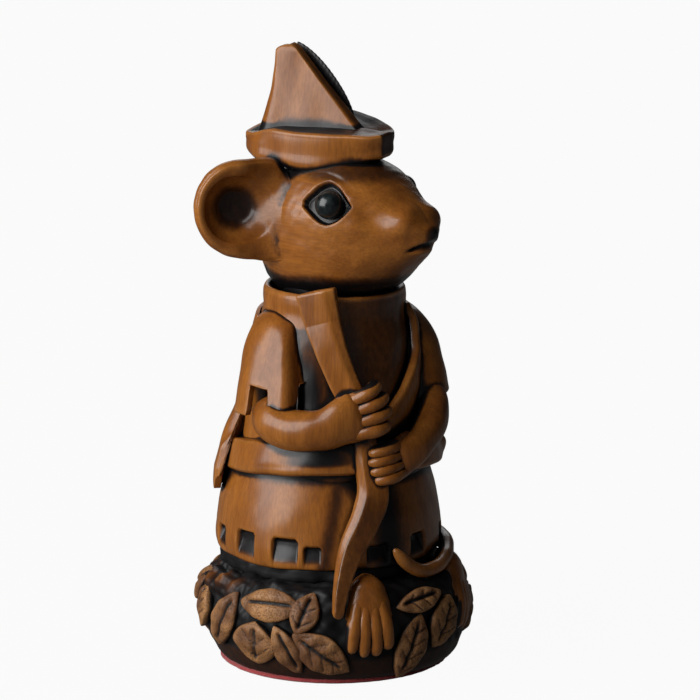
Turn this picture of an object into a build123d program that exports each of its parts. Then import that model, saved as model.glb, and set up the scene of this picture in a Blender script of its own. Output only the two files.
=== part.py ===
from build123d import *
import os
from math import cos, pi, radians, sin, tan

# A carved wooden mouse in a woodsman's dress, standing on a leafy base with a bow.
# Lengths are in millimetres and angles in degrees. The origin is the centre of the felt's
# underside, +Z is up, the mouse faces -Y and its right side is -X.

# Fits
GLUE_GAP = 0.05
OVERRUN = 4.0
OVAL_POINTS = 16

# Felt and base mound
FELT_T = 0.9
FELT_R = 22.5
MOUND_H = 18.4
MOUND_FOOT_R = 22.4
MOUND_BELLY_R = 25.2
MOUND_TOP_R = 22.0
MOUND_BELLY_SHARE = 0.42
MOUND_HEEL_SHARES = (0.955, 0.15)
MOUND_BROW_SHARES = (0.97, 0.80)

# Leaves on the mound
LEAF_TOP_TILT = 60.0
LEAF_T = 1.3
LEAF_L = 11.5
LEAF_W = 6.0
VEIN_W = 0.5
VEIN_SHARE = 0.8

# Body axis, legs and skirt
BODY_BACK = 2.4
BODY_LEAN = 0.6
TORSO_FORWARD = 1.2
LEG_R = 17.0
HEM_GAP = 2.2
SKIRT_H = 16.3
HEM_R = 21.9
HEM_EDGE_H = 1.6
HEM_EDGE_IN = 0.6
SKIRT_TOP_R = 19.4
NOTCH_COUNT = 14
NOTCH_W = 4.8
NOTCH_H = 4.9
NOTCH_DEPTH = 1.4

# Belt and torso
BELT_W = 6.0
BELT_DROP = 1.4
BELT_PROUD = 1.3
TORSO_H = 35.8
WAIST_R = 18.7
CHEST_R = 16.9
SHOULDER_R = 14.7
COLLAR_R = 13.8
COLLAR_H = 4.4
COLLAR_WALL = 2.1
COLLAR_CUP = 3.2
CHEST_SHARE = 0.42
SHOULDER_SHARE = 0.76

# Cape and shoulder strap
CAPE_T = 1.3
CAPE_HALF_ANGLE = 57.0
CAPE_TOP_SHARE = 0.82
CAPE_DROP = 4.4
CAPE_FLARE = 1.0
CAPE_CORNER_R = 3.4
STRAP_T = 1.6
STRAP_W = 5.0
STRAP_FACING = 15.0
STRAP_SIDE_SHARES = (0.46, 0.42, 0.38, 0.28, -0.08, -0.46)
STRAP_HEIGHT_SHARES = (0.90, 0.80, 0.67, 0.51, 0.40, 0.28)

# Sleeves and arms
SLEEVE_R = 7.7
SLEEVE_WALL = 1.5
SLEEVE_MOUTH = 5.0
SLEEVE_NOTCH_W = 3.6
SLEEVE_NOTCH_H = 3.4
SLEEVE_NOTCH_TURNS = (-50, 0, 50)
SLEEVE_SIZE_SHARES = (0.52, 0.80, 0.95, 1.05)
SLEEVE_DEPTH_SHARE = 0.80
SLEEVE_PIN_SHARE = 0.64
SLEEVE_PIN_BITE = 2.0
RIGHT_SLEEVE_ANGLES = (-93, -90, -87, -85)
RIGHT_SLEEVE_HEIGHT_SHARES = (0.84, 0.72, 0.54, 0.37)
RIGHT_SLEEVE_RADIUS_SHARES = (0.70, 0.84, 0.95, 0.98)
LEFT_SLEEVE_ANGLES = (66, 58, 50, 44)
LEFT_SLEEVE_HEIGHT_SHARES = (0.90, 0.78, 0.58, 0.42)
LEFT_SLEEVE_RADIUS_SHARES = (0.70, 0.86, 0.97, 1.02)
ARM_R = 3.9
FINGER_R = 1.25
FINGER_PITCH = 2.35
FINGER_COUNT = 4
FINGER_STAND_SHARE = 1.6

# Bow
BOW_H = 60.0
BOW_W = 5.6
BOW_T = 2.8
BOW_FOOT_Z = 13.6

# Feet and tail
TOE_R = 1.25
TOE_COUNT = 4
INSTEP_R = 3.4
FOOT_ANGLE = 31.0
FOOT_TOE_Z = 6.6
TOE_SPREAD = 5.0
TOE_FAN_SHARES = (0.5, 0.85, 1.0)
TOE_STAND_SHARES = (-1.0, 0.9, 0.5)
TAIL_R = 1.6

# Head, ears and eyes
HEAD_L = 39.5
HEAD_W = 27.0
HEAD_RISE = 13.0
HEAD_DROP = 13.4
HEAD_BEHIND = 14.0
HEAD_TURN = 5.0
NECK_R = 10.2
CHIN_SINK = 0.5
JOWL_FULLNESS = 1.3
MOUTH_SLIT = 0.7
MOUTH_DEPTH = 1.0
MOUTH_FRONT_SHARE = 0.17
MOUTH_BACK_SHARE = 0.46
MOUTH_REACH_SHARE = 0.24
EAR_R = 9.5
EAR_T = 3.6
EAR_RIM = 1.6
EAR_DISH = 2.2
EAR_STAND = 2.9
EAR_BEHIND = 8.6
EAR_UP = 1.8
EAR_FACING = 42.0
EAR_GLUE_GAP = 0.12
EAR_BACK_SHARES = (0.72, 0.66)
EAR_DISH_SHARES = (0.55, 0.72)
EYE_R = 2.5
EYE_INSET = 1.9
EYE_FORWARD = 7.9
EYE_UP = 5.0
EYE_FACING = 62.0
EYE_OPEN_L = 9.6
EYE_OPEN_W = 7.0
EYE_OPEN_DEPTH = 1.2

# Hat and feather
HAT_SEAT = 12.2
HAT_ASIDE = 1.2
HAT_TURN = 1.0
HAT_TILT = 9.0
HAT_PITCH = -2.0
BRIM_H = 6.4
BRIM_FLOOR = 5.0
BRIM_WALL = 2.2
BRIM_FRONT = 12.6
BRIM_BACK = 16.4
BRIM_HALF_W = 9.4
BRIM_WIDE_BACK = 5.0
BRIM_STERN_HALF_W = 7.4
BRIM_PROW_HALF_W = 2.4
BRIM_ROUND = 2.0
CROWN_H = 15.4
CROWN_FRONT = 7.0
CROWN_BACK = 13.4
CROWN_CORNER_BACK = 11.6
CROWN_HALF_W = 6.4
CROWN_APEX_BACK = 10.2
CROWN_APEX_SHARE = 0.14
FEATHER_L = 19.4
FEATHER_W = 5.2
FEATHER_T = 1.2
FEATHER_FOOT_SHARES = (0.68, 0.31)
FEATHER_LEAN_SHARES = (-0.04, 0.62, 0.76)
FEATHER_FACE_SHARES = (0.90, 0.20, 0.30)

# Dowels
BODY_DOWEL_R = 3.0
BODY_DOWEL_L = 30.0
NECK_DOWEL_R = 2.5
NECK_DOWEL_L = 24.0
HAT_DOWEL_R = 1.8
HAT_DOWEL_L = 12.0
HAT_DOWEL_BACK = 4.5
ARM_DOWEL_R = 1.4
ARM_DOWEL_L = 12.0

# Alignments: standing on a face, and starting from a side
BASE = (Align.CENTER, Align.CENTER, Align.MIN)
SIDE = (Align.MIN, Align.CENTER, Align.CENTER)

# Levels worked out from the sizes above
MOUND_TOP_Z = FELT_T + MOUND_H
SKIRT_TOP = HEM_GAP + SKIRT_H
COLLAR_TOP = SKIRT_TOP + TORSO_H
COLLAR_FOOT = COLLAR_TOP - COLLAR_H
CUP_FLOOR = COLLAR_TOP - COLLAR_CUP
CHEST = SKIRT_TOP + CHEST_SHARE * TORSO_H
SHOULDER = SKIRT_TOP + SHOULDER_SHARE * TORSO_H
TORSO_BACK = BODY_BACK - TORSO_FORWARD
BODY = Location((0, BODY_BACK, MOUND_TOP_Z), (BODY_LEAN, 0, 0))
TORSO = Location((0, TORSO_BACK, MOUND_TOP_Z), (BODY_LEAN, 0, 0))
HEAD_Y = TORSO_BACK - COLLAR_TOP * tan(radians(BODY_LEAN))
HEAD_Z = MOUND_TOP_Z + COLLAR_TOP - CHIN_SINK + HEAD_DROP
HEAD = Location((0, HEAD_Y, HEAD_Z), (0, 0, HEAD_TURN))
HAT_PLACE = Location((HAT_ASIDE, HEAD_Y, HEAD_Z + HAT_SEAT), (0, 0, HEAD_TURN + HAT_TURN))
HAT = HAT_PLACE * Rot(-HAT_PITCH, -HAT_TILT, 0)

# Outline of the body from the hem to the collar, as radius against height on the body's axis
BODY_STEPS = (
    (HEM_GAP, HEM_R),
    (SKIRT_TOP, SKIRT_TOP_R),
    (CHEST, CHEST_R),
    (SHOULDER, SHOULDER_R),
    (COLLAR_FOOT, COLLAR_R),
    (COLLAR_TOP, COLLAR_R),
)


def body_r(z):
    """Radius of the dressed body at a height above the mound, between the named radii."""
    if z <= BODY_STEPS[0][0]:
        return BODY_STEPS[0][1]
    for (z0, r0), (z1, r1) in zip(BODY_STEPS, BODY_STEPS[1:]):
        if z <= z1:
            return r0 + (r1 - r0) * (z - z0) / (z1 - z0)
    return BODY_STEPS[-1][1]


def polar(angle, radius, z):
    """Point at an angle from the front, plus toward the mouse's left, about the upright axis."""
    return Vector(radius * sin(radians(angle)), -radius * cos(radians(angle)), z)


def outward(angle):
    """Level direction pointing away from the axis at an angle from the front."""
    return polar(angle, 1, 0)


def largest(shape):
    """The biggest solid of a shape, without crumbs left by a cut."""
    return max(shape.solids(), key=lambda solid: solid.volume)


def oval(plane, across, up, down, fullness=1):
    """Closed curve of an upper half ellipse and a lower half made fuller at its corners."""
    points = []
    for i in range(OVAL_POINTS):
        turn = 2 * pi * i / OVAL_POINTS
        x, y = cos(turn), sin(turn)
        if y > 0:
            points.append((across * x, up * y))
        else:
            side = 1 if x > 0 else -1
            points.append((across * side * abs(x) ** (1 / fullness), -down * abs(y) ** (1 / fullness)))
    return plane * make_face(Spline(*points, periodic=True))


def limb(points, sizes, lead):
    """Solid lofted through ovals set square to a route; sizes are half-widths along lead and across it."""
    sections = []
    last = len(points) - 1
    for i, (point, (along, across)) in enumerate(zip(points, sizes)):
        tangent = (points[min(i + 1, last)] - points[max(i - 1, 0)]).normalized()
        side = lead[i] - tangent * lead[i].dot(tangent)
        sections.append(oval(Plane(origin=point, x_dir=side, z_dir=tangent), along, across, across))
    return loft(sections)


def digit(start, middle, end, radius, lead):
    """Finger or toe: a round limb bent through three points, blunt at its tip."""
    place_shares = (0, 0.3, 0.6, 0.86, 1)
    size_shares = (0.9, 1.0, 1.0, 0.88, 0.5)
    bend = middle * 2 - (start + end) * 0.5
    points = []
    for t in place_shares:
        points.append(start * (1 - t) ** 2 + bend * (2 * t * (1 - t)) + end * t ** 2)
    sizes = [(share * radius, share * radius) for share in size_shares]
    return limb(points, sizes, [lead] * len(points))


def lens(length, width):
    """Leaf outline of two arcs that meet at both tips."""
    tip = length / 2
    upper = ThreePointArc((-tip, 0), (0, width / 2), (tip, 0))
    lower = ThreePointArc((tip, 0), (0, -width / 2), (-tip, 0))
    return make_face([upper, lower])


def dowel(radius, length, place):
    """Round dowel centred on a place, along that place's Z."""
    return place * Cylinder(radius, length)


def felt_pad():
    return Pos(0, 0, FELT_T / 2) * Cylinder(FELT_R, FELT_T)


def mound_steps():
    """Radii of the mound against height: its foot, heel, belly, brow and top."""
    heel_r, heel_z = MOUND_HEEL_SHARES
    brow_r, brow_z = MOUND_BROW_SHARES
    return (
        (FELT_T, MOUND_FOOT_R),
        (FELT_T + heel_z * MOUND_H, heel_r * MOUND_BELLY_R),
        (FELT_T + MOUND_BELLY_SHARE * MOUND_H, MOUND_BELLY_R),
        (FELT_T + brow_z * MOUND_H, brow_r * MOUND_BELLY_R),
        (MOUND_TOP_Z, MOUND_TOP_R),
    )


def mound_form(grow):
    """Turned form of the mound, grown outward by a wall."""
    points = [(r + grow, z) for z, r in mound_steps()]
    foot = points[0]
    top = (points[-1][0], MOUND_TOP_Z + grow)
    side = Spline(*points[:-1], top)
    close = Polyline(top, (0, top[1]), (0, FELT_T), foot)
    return revolve(Plane.XZ * make_face([side, close]), Axis.Z)


def mound_r(z):
    """Radius of the mound at a height, between its named radii."""
    steps = mound_steps()
    for (z0, r0), (z1, r1) in zip(steps, steps[1:]):
        if z <= z1:
            return r0 + (r1 - r0) * (z - z0) / (z1 - z0)
    return MOUND_TOP_R


def skirt_form():
    hem_top = HEM_GAP + HEM_EDGE_H
    outline = Polyline(
        (0, HEM_GAP),
        (HEM_R - HEM_EDGE_IN, HEM_GAP),
        (HEM_R, hem_top),
        (SKIRT_TOP_R, SKIRT_TOP),
        (0, SKIRT_TOP),
        close=True,
    )
    form = revolve(Plane.XZ * make_face(outline), Axis.Z)
    for i in range(NOTCH_COUNT):
        angle = 360 * (i + 0.5) / NOTCH_COUNT
        reach = NOTCH_DEPTH + OVERRUN
        floor = polar(angle, HEM_R - NOTCH_DEPTH, HEM_GAP)
        place = Plane(origin=floor, x_dir=(0, 0, 1), z_dir=outward(angle))
        form -= place * Box(2 * NOTCH_H, NOTCH_W, reach, align=BASE)
    return form


def torso_form(grow, cup):
    """Turned form of the torso, grown outward by a wall, with or without the collar's cup."""
    waist = (WAIST_R + grow, SKIRT_TOP)
    foot = (COLLAR_R + grow, COLLAR_FOOT)
    side = Spline(waist, (CHEST_R + grow, CHEST), (SHOULDER_R + grow, SHOULDER), foot)
    close = Polyline(foot, (COLLAR_R + grow, COLLAR_TOP), (0, COLLAR_TOP), (0, SKIRT_TOP), waist)
    form = revolve(Plane.XZ * make_face([side, close]), Axis.Z)
    if cup:
        form -= Pos(0, 0, CUP_FLOOR) * Cylinder(COLLAR_R - COLLAR_WALL, COLLAR_CUP + OVERRUN, align=BASE)
    return form


def belt_form():
    low = SKIRT_TOP - BELT_DROP
    high = low + BELT_W
    middle = (low + high) / 2
    edge = BELT_PROUD / 2
    inner = WAIST_R - BELT_PROUD
    outer = Spline(
        (body_r(low) + edge, low),
        (body_r(middle) + BELT_PROUD, middle),
        (body_r(high) + edge, high),
    )
    close = Polyline((body_r(high) + edge, high), (inner, high), (inner, low), (body_r(low) + edge, low))
    return revolve(Plane.XZ * make_face([outer, close]), Axis.Z)


def cape_form():
    """Shell that hangs from the collar over the back, flaring out past the belt, with rounded corners."""
    low = SKIRT_TOP - CAPE_DROP
    top = SKIRT_TOP + CAPE_TOP_SHARE * TORSO_H
    heights = (top, SHOULDER, CHEST, SKIRT_TOP + BELT_W - BELT_DROP, low)
    flares = (0, 0, 0, BELT_PROUD, BELT_PROUD + CAPE_FLARE)
    inner = []
    outer = []
    for z, flare in zip(heights, flares):
        inner.append((body_r(max(z, SKIRT_TOP)) + flare, z))
        outer.append((body_r(max(z, SKIRT_TOP)) + flare + CAPE_T, z))
    face = make_face(Polyline(*inner, *reversed(outer), close=True))
    start = 180 - CAPE_HALF_ANGLE - 90
    shell = revolve(Rot(0, 0, start) * (Plane.XZ * face), Axis.Z, 2 * CAPE_HALF_ANGLE)
    for side in (-1, 1):
        angle = 180 + side * CAPE_HALF_ANGLE
        shell -= cape_corner(angle, -side, low)
    return shell


def cape_corner(angle, toward, low):
    """Cutter that rounds one lower corner of the cape."""
    radius = body_r(SKIRT_TOP)
    corner = polar(angle, radius - OVERRUN, low)
    plane = Plane(origin=corner, x_dir=outward(angle + 90 * toward), z_dir=outward(angle))
    square = Rectangle(2 * CAPE_CORNER_R, 2 * CAPE_CORNER_R)
    round_end = Pos(CAPE_CORNER_R, CAPE_CORNER_R) * Circle(CAPE_CORNER_R)
    return extrude(plane * (square - round_end), amount=3 * OVERRUN)


def strap_form():
    """Band over the chest from the left shoulder down to the bow hand, lying on the torso."""
    shell = torso_form(STRAP_T, False) - torso_form(0, False)
    across = outward(STRAP_FACING + 90)
    plane = Plane(origin=(0, 0, 0), x_dir=across, z_dir=outward(STRAP_FACING))
    points = []
    for side_share, height_share in zip(STRAP_SIDE_SHARES, STRAP_HEIGHT_SHARES):
        points.append((side_share * CHEST_R, SKIRT_TOP + height_share * TORSO_H))
    band = trace(Spline(*points), line_width=STRAP_W)
    return largest(extrude(plane * band, amount=CHEST_R + OVERRUN) & shell)


def sleeve_route(angles, height_shares, radius_shares):
    points = []
    for angle, height_share, radius_share in zip(angles, height_shares, radius_shares):
        z = SKIRT_TOP + height_share * TORSO_H
        points.append(polar(angle, radius_share * body_r(z), z))
    return points


def sleeve_form(angles, height_shares, radius_shares):
    """Bell sleeve that opens downward, with a dagged hem."""
    points = sleeve_route(angles, height_shares, radius_shares)
    lead = [outward(angle) for angle in angles]
    sizes = []
    for share in SLEEVE_SIZE_SHARES:
        sizes.append((share * SLEEVE_R * SLEEVE_DEPTH_SHARE, share * SLEEVE_R))
    form = limb(points, sizes, lead)
    mouth_points = [points[-1] + (points[-2] - points[-1]).normalized() * SLEEVE_MOUTH]
    mouth_points.append(points[-1] + (points[-1] - points[-2]).normalized() * OVERRUN)
    inner_sizes = [(along - SLEEVE_WALL, across - SLEEVE_WALL) for along, across in sizes[-2:]]
    form -= limb(mouth_points, inner_sizes, lead[-2:])
    for turn in SLEEVE_NOTCH_TURNS:
        place = Plane(origin=points[-1], x_dir=outward(angles[-1] + turn), z_dir=(0, 0, 1))
        form -= place * Box(2 * SLEEVE_R, SLEEVE_NOTCH_W, 2 * SLEEVE_NOTCH_H, align=SIDE)
    return form


def right_sleeve_form():
    return sleeve_form(RIGHT_SLEEVE_ANGLES, RIGHT_SLEEVE_HEIGHT_SHARES, RIGHT_SLEEVE_RADIUS_SHARES)


def left_sleeve_form():
    return sleeve_form(LEFT_SLEEVE_ANGLES, LEFT_SLEEVE_HEIGHT_SHARES, LEFT_SLEEVE_RADIUS_SHARES)


def arm_route(angles, height_shares, stand_shares):
    points = []
    for angle, height_share, stand_share in zip(angles, height_shares, stand_shares):
        z = SKIRT_TOP + height_share * TORSO_H
        points.append(polar(angle, body_r(z) + stand_share * ARM_R, z))
    return points


def arm_form(angles, height_shares, stand_shares, along_shares, across_shares, fingers):
    """Forearm and hand: a limb that flattens to the palm, and four fingers laid over the bow."""
    points = arm_route(angles, height_shares, stand_shares)
    lead = [outward(angle) for angle in angles]
    sizes = [(a * ARM_R, b * ARM_R) for a, b in zip(along_shares, across_shares)]
    form = limb(points, sizes, lead)
    root_angle, tip_angle, rise_share, radius_share = fingers
    radius = FINGER_R * radius_share
    palm = points[-1].Z
    reach = body_r(palm) + BOW_T + FINGER_STAND_SHARE * radius
    for i in range(FINGER_COUNT):
        z = palm + ((FINGER_COUNT - 1) / 2 - i) * FINGER_PITCH * radius_share
        start = polar(root_angle, reach, z)
        middle = polar((root_angle + tip_angle) / 2, reach + radius / 2, z + rise_share * FINGER_PITCH / 2)
        end = polar(tip_angle, reach - radius / 2, z + rise_share * FINGER_PITCH)
        form += digit(start, middle, end, radius, Vector(0, 0, 1))
    return form


def right_arm_form():
    angles = (-86, -80, -61, -46, -37)
    height_shares = (0.45, 0.345, 0.325, 0.35, 0.39)
    stand_shares = (0.30, 0.55, 0.90, 1.10, 1.22)
    along_shares = (0.70, 0.95, 0.95, 0.72, 0.48)
    across_shares = (0.80, 1.00, 1.00, 0.85, 1.10)
    finger_shares = (-38, -20, 0.9, 1.0)
    return arm_form(angles, height_shares, stand_shares, along_shares, across_shares, finger_shares)


def left_arm_form():
    angles = (40, 30, 16, 1, -8)
    height_shares = (0.46, 0.38, 0.30, 0.22, 0.155)
    stand_shares = (0.20, 0.50, 0.85, 1.05, 1.15)
    along_shares = (0.70, 0.85, 0.80, 0.62, 0.46)
    across_shares = (0.80, 0.85, 0.78, 0.68, 0.86)
    finger_shares = (-8, -27, 0.1, 0.84)
    return arm_form(angles, height_shares, stand_shares, along_shares, across_shares, finger_shares)


def bow_form():
    """One stave of flat section that stands before the body in a slow S, from the chin to the mound."""
    angles = (-43, -41, -36.5, -30, -25.5, -26.5, -28.5, -32.5, -41, -53, -60)
    height_shares = (0.0, 0.11, 0.21, 0.295, 0.37, 0.45, 0.54, 0.64, 0.73, 0.89, 1.0)
    stand_shares = (1.95, 1.55, 1.20, 1.20, 1.10, 1.00, 0.92, 0.85, 0.75, 0.90, 0.62)
    width_shares = (0.22, 0.52, 0.78, 0.92, 1.0, 0.85, 0.72, 0.85, 1.0, 1.05, 1.05)
    sections = []
    points = []
    for angle, height_share, stand_share in zip(angles, height_shares, stand_shares):
        z = BOW_FOOT_Z + height_share * BOW_H
        axis_y = TORSO_BACK - (z - MOUND_TOP_Z) * tan(radians(BODY_LEAN))
        radius = body_r(z - MOUND_TOP_Z) + stand_share * BOW_T
        points.append(polar(angle, radius, z) + Vector(0, axis_y, 0))
    last = len(points) - 1
    for i, (point, angle, width_share) in enumerate(zip(points, angles, width_shares)):
        tangent = (points[min(i + 1, last)] - points[max(i - 1, 0)]).normalized()
        side = outward(angle + 90)
        side = side - tangent * side.dot(tangent)
        plane = Plane(origin=point, x_dir=side, z_dir=tangent)
        sections.append(plane * Rectangle(width_share * BOW_W, BOW_T))
    return loft(sections)


def foot_form(angle):
    """Foot that hangs over the edge of the mound, with four long toes."""
    levels = (MOUND_TOP_Z, (MOUND_TOP_Z + FOOT_TOE_Z) / 2, FOOT_TOE_Z)
    form = Pos(*polar(angle, mound_r(MOUND_TOP_Z) - TOE_R, MOUND_TOP_Z - TOE_R)) * Sphere(INSTEP_R)
    for i in range(TOE_COUNT):
        spread = (i - (TOE_COUNT - 1) / 2) * TOE_SPREAD
        points = []
        for z, fan_share, stand_share in zip(levels, TOE_FAN_SHARES, TOE_STAND_SHARES):
            points.append(polar(angle + fan_share * spread, mound_r(z) + stand_share * TOE_R, z))
        form += digit(*points, TOE_R, outward(angle))
    return form


def tail_form():
    """Tail that lies round the hem from the back, past the left side, to a raised tip at the front."""
    angles = (180, 150, 120, 90, 65, 48, 30, 12, 0, -9, -15)
    lift_shares = (0.6, 0.9, 1.1, 1.3, 1.4, 1.5, 1.1, 0.7, 0.9, 2.4, 4.2)
    size_shares = (0.9, 1.0, 1.0, 1.0, 1.0, 1.0, 1.0, 1.0, 0.95, 0.88, 0.80)
    out_shares = (0.2, 0.7, 0.7, 0.7, 0.7, 0.8, 0.9, 1.0, 1.0, 1.0, 1.0)
    points = []
    for angle, lift_share, out_share in zip(angles, lift_shares, out_shares):
        points.append(polar(angle, HEM_R + out_share * TAIL_R, MOUND_TOP_Z + lift_share * TAIL_R))
    sizes = [(share * TAIL_R, share * TAIL_R) for share in size_shares]
    upright = [Vector(0, 0, 1)] * len(points)
    return Pos(0, BODY_BACK / 2, 0) * limb(points, sizes, upright)


# Leaves: angle from the front, height on the mound as a share, turn of the leaf, and sizes as shares
LEAF_SHARES = (
    (-76, 0.78, 2, 1.0, 1.0),
    (-83, 0.36, 84, 0.72, 1.25),
    (-101, 0.54, 66, 1.0, 0.72),
    (-121, 0.58, 80, 0.75, 0.85),
    (-59, 0.74, 70, 0.70, 0.70),
    (-67, 0.33, -64, 0.86, 0.66),
    (-52, 0.32, -35, 1.05, 0.95),
    (-11, 0.34, 70, 1.05, 0.85),
    (8, 0.52, 62, 0.85, 0.95),
    (-5, 0.80, 10, 0.72, 0.70),
    (50, 0.40, -60, 1.0, 0.95),
    (63, 0.72, 20, 0.90, 0.85),
    (78, 0.38, 70, 1.0, 0.90),
    (96, 0.70, -15, 0.95, 0.90),
    (108, 0.34, -70, 1.0, 0.85),
    (127, 0.64, 35, 1.0, 0.95),
    (143, 0.32, 80, 0.9, 1.0),
    (160, 0.66, -30, 1.0, 0.9),
    (176, 0.34, 65, 1.0, 0.9),
    (196, 0.68, 15, 0.95, 0.9),
    (211, 0.36, -70, 1.0, 0.95),
    (225, 0.72, 40, 0.85, 0.8),
)


def leaf_form(shell, angle, height_share, turn, length_share, width_share):
    """Leaf that follows the mound's side, with a slit for its midrib."""
    z = FELT_T + height_share * MOUND_H
    lift = max(0, height_share - MOUND_BELLY_SHARE) * LEAF_TOP_TILT
    normal = outward(angle) * cos(radians(lift)) + Vector(0, 0, 1) * sin(radians(lift))
    origin = polar(angle, mound_r(z) + OVERRUN, z) + Vector(0, 0, OVERRUN * tan(radians(lift)))
    plane = Plane(origin=origin, x_dir=outward(angle + 90), z_dir=normal)
    length = LEAF_L * length_share
    blank = lens(length, LEAF_W * width_share) - lens(length * VEIN_SHARE, VEIN_W)
    prism = extrude(plane * (Rot(0, 0, turn) * blank), amount=-(3 * OVERRUN))
    return prism & shell


def head_form(inset):
    """Head lofted through egg-shaped sections from the back of the skull to the nose."""
    place_shares = (0.0, 0.035, 0.12, 0.25, 0.40, 0.55, 0.68, 0.81, 0.91, 0.97, 1.0)
    width_shares = (0.20, 0.46, 0.75, 0.93, 1.0, 0.97, 0.82, 0.58, 0.36, 0.20, 0.09)
    rise_shares = (0.20, 0.48, 0.78, 0.95, 1.0, 0.94, 0.77, 0.53, 0.31, 0.17, 0.08)
    drop_shares = (0.24, 0.56, 0.84, 0.97, 1.0, 0.96, 0.82, 0.58, 0.36, 0.20, 0.10)
    thin = 1 - inset / HEAD_DROP
    sections = []
    for place, width, rise, drop in zip(place_shares, width_shares, rise_shares, drop_shares):
        forward = place * HEAD_L - HEAD_BEHIND
        plane = Plane(origin=(0, -forward, 0), x_dir=(1, 0, 0), z_dir=(0, -1, 0))
        across = thin * width * HEAD_W / 2
        up = thin * rise * HEAD_RISE
        down = thin * drop * HEAD_DROP
        sections.append(oval(plane, across, up, down, JOWL_FULLNESS))
    return loft(sections)


def mouth_cut():
    """Thin wedge across the snout that opens the mouth, kept to the surface by the head's core."""
    nose = HEAD_BEHIND - HEAD_L
    front = nose - OVERRUN
    front_z = -MOUTH_FRONT_SHARE * HEAD_DROP
    back = nose + MOUTH_REACH_SHARE * HEAD_L
    back_z = -MOUTH_BACK_SHARE * HEAD_DROP
    wedge = Polyline((front, front_z), (back, back_z), (front, front_z - MOUTH_SLIT), close=True)
    slab = extrude(Plane.YZ * make_face(wedge), amount=HEAD_W / 2, both=True)
    return slab - head_form(MOUTH_DEPTH)


def eye_place(side):
    """Plane at an eye's centre, facing out of the head; side is -1 for the right eye."""
    centre = Vector(side * (HEAD_W / 2 - EYE_INSET), -EYE_FORWARD, EYE_UP)
    return Plane(origin=centre, x_dir=outward(side * EYE_FACING + 90), z_dir=outward(side * EYE_FACING))


def eye_opening(side):
    """Almond recess round the eye."""
    floor = EYE_R - EYE_OPEN_DEPTH
    almond = extrude(lens(EYE_OPEN_L, EYE_OPEN_W), amount=OVERRUN)
    return eye_place(side) * (Pos(0, 0, floor) * almond)


def head_solid():
    form = HEAD * head_form(0)
    form += TORSO * (Pos(0, 0, CUP_FLOOR) * Cylinder(NECK_R, COLLAR_CUP + OVERRUN, align=BASE))
    form -= HAT * Box(HEAD_L * 2, HEAD_L * 2, HEAD_RISE, align=BASE)
    form -= HEAD * mouth_cut()
    for side in (-1, 1):
        form -= HEAD * eye_opening(side)
        form -= HEAD * (eye_place(side) * Sphere(EYE_R + GLUE_GAP))
    return largest(form)


def ear_form():
    """Left ear: a round dish, thick at the middle of its back, facing forward and out, seated on the head."""
    back_bulge = (EAR_BACK_SHARES[0] * EAR_R, -EAR_BACK_SHARES[1] * EAR_T)
    back = ThreePointArc((0, -EAR_T), back_bulge, (EAR_R, 0))
    rim = ThreePointArc((EAR_R, 0), (EAR_R - EAR_RIM / 2, EAR_RIM / 2), (EAR_R - EAR_RIM, 0))
    dish_bulge = (EAR_DISH_SHARES[0] * EAR_R, -EAR_DISH_SHARES[1] * EAR_DISH)
    dish = ThreePointArc((EAR_R - EAR_RIM, 0), dish_bulge, (0, -EAR_DISH))
    face = make_face([back, rim, dish, Line((0, -EAR_DISH), (0, -EAR_T))])
    disc = revolve(Plane.XZ * face, Axis.Z)
    centre = Vector(HEAD_W / 2 + EAR_STAND, EAR_BEHIND, EAR_UP)
    plane = Plane(origin=centre, x_dir=outward(EAR_FACING + 90), z_dir=outward(EAR_FACING))
    return cut(plane * disc, head_form(0))


def brim_outline():
    """Boat-shaped plan: bowed sides from a blunt stern at the back to a narrow prow at the front."""
    stern_l, stern_r = (BRIM_STERN_HALF_W, BRIM_BACK), (-BRIM_STERN_HALF_W, BRIM_BACK)
    prow_l, prow_r = (BRIM_PROW_HALF_W, -BRIM_FRONT), (-BRIM_PROW_HALF_W, -BRIM_FRONT)
    left = ThreePointArc(stern_l, (BRIM_HALF_W, BRIM_WIDE_BACK), prow_l)
    right = ThreePointArc(prow_r, (-BRIM_HALF_W, BRIM_WIDE_BACK), stern_r)
    face = make_face([left, Line(prow_l, prow_r), right, Line(stern_r, stern_l)])
    return fillet(face.vertices(), BRIM_ROUND)


def brim_form():
    """Turned-up brim cut from one block, with a shallow bed for the crown inside its lip."""
    outline = brim_outline()
    bed = offset(outline, amount=-BRIM_WALL)
    return HAT * (extrude(outline, amount=BRIM_H) - Pos(0, 0, BRIM_FLOOR) * extrude(bed, amount=BRIM_H))


def crown_outline(size_share):
    """Crown plan pointed at the front, with straight sides and a bowed back."""
    corner_r = (size_share * CROWN_HALF_W, size_share * CROWN_CORNER_BACK)
    corner_l = (-size_share * CROWN_HALF_W, size_share * CROWN_CORNER_BACK)
    sides = Polyline(corner_r, (0, -size_share * CROWN_FRONT), corner_l)
    back = ThreePointArc(corner_l, (0, size_share * CROWN_BACK), corner_r)
    return make_face([sides, back])


def crown_form():
    """Tall wedge of the hat, creased at the front, with its point set to the back."""
    foot = Pos(0, 0, BRIM_FLOOR) * crown_outline(1)
    tip = Pos(0, CROWN_APEX_BACK, BRIM_FLOOR + CROWN_H) * crown_outline(CROWN_APEX_SHARE)
    return HAT * loft([foot, tip], ruled=True)


def feather_form():
    """Feather blade that leans back along the crown's left side."""
    foot_out, foot_forward = FEATHER_FOOT_SHARES
    foot = Vector(foot_out * CROWN_HALF_W, -foot_forward * CROWN_FRONT, BRIM_FLOOR)
    lean = Vector(*FEATHER_LEAN_SHARES).normalized()
    side = Vector(*FEATHER_FACE_SHARES)
    normal = side - lean * side.dot(lean)
    plane = Plane(origin=foot + lean * (FEATHER_L / 2), x_dir=lean, z_dir=normal)
    return HAT * extrude(plane * lens(FEATHER_L, FEATHER_W), amount=FEATHER_T)


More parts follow.
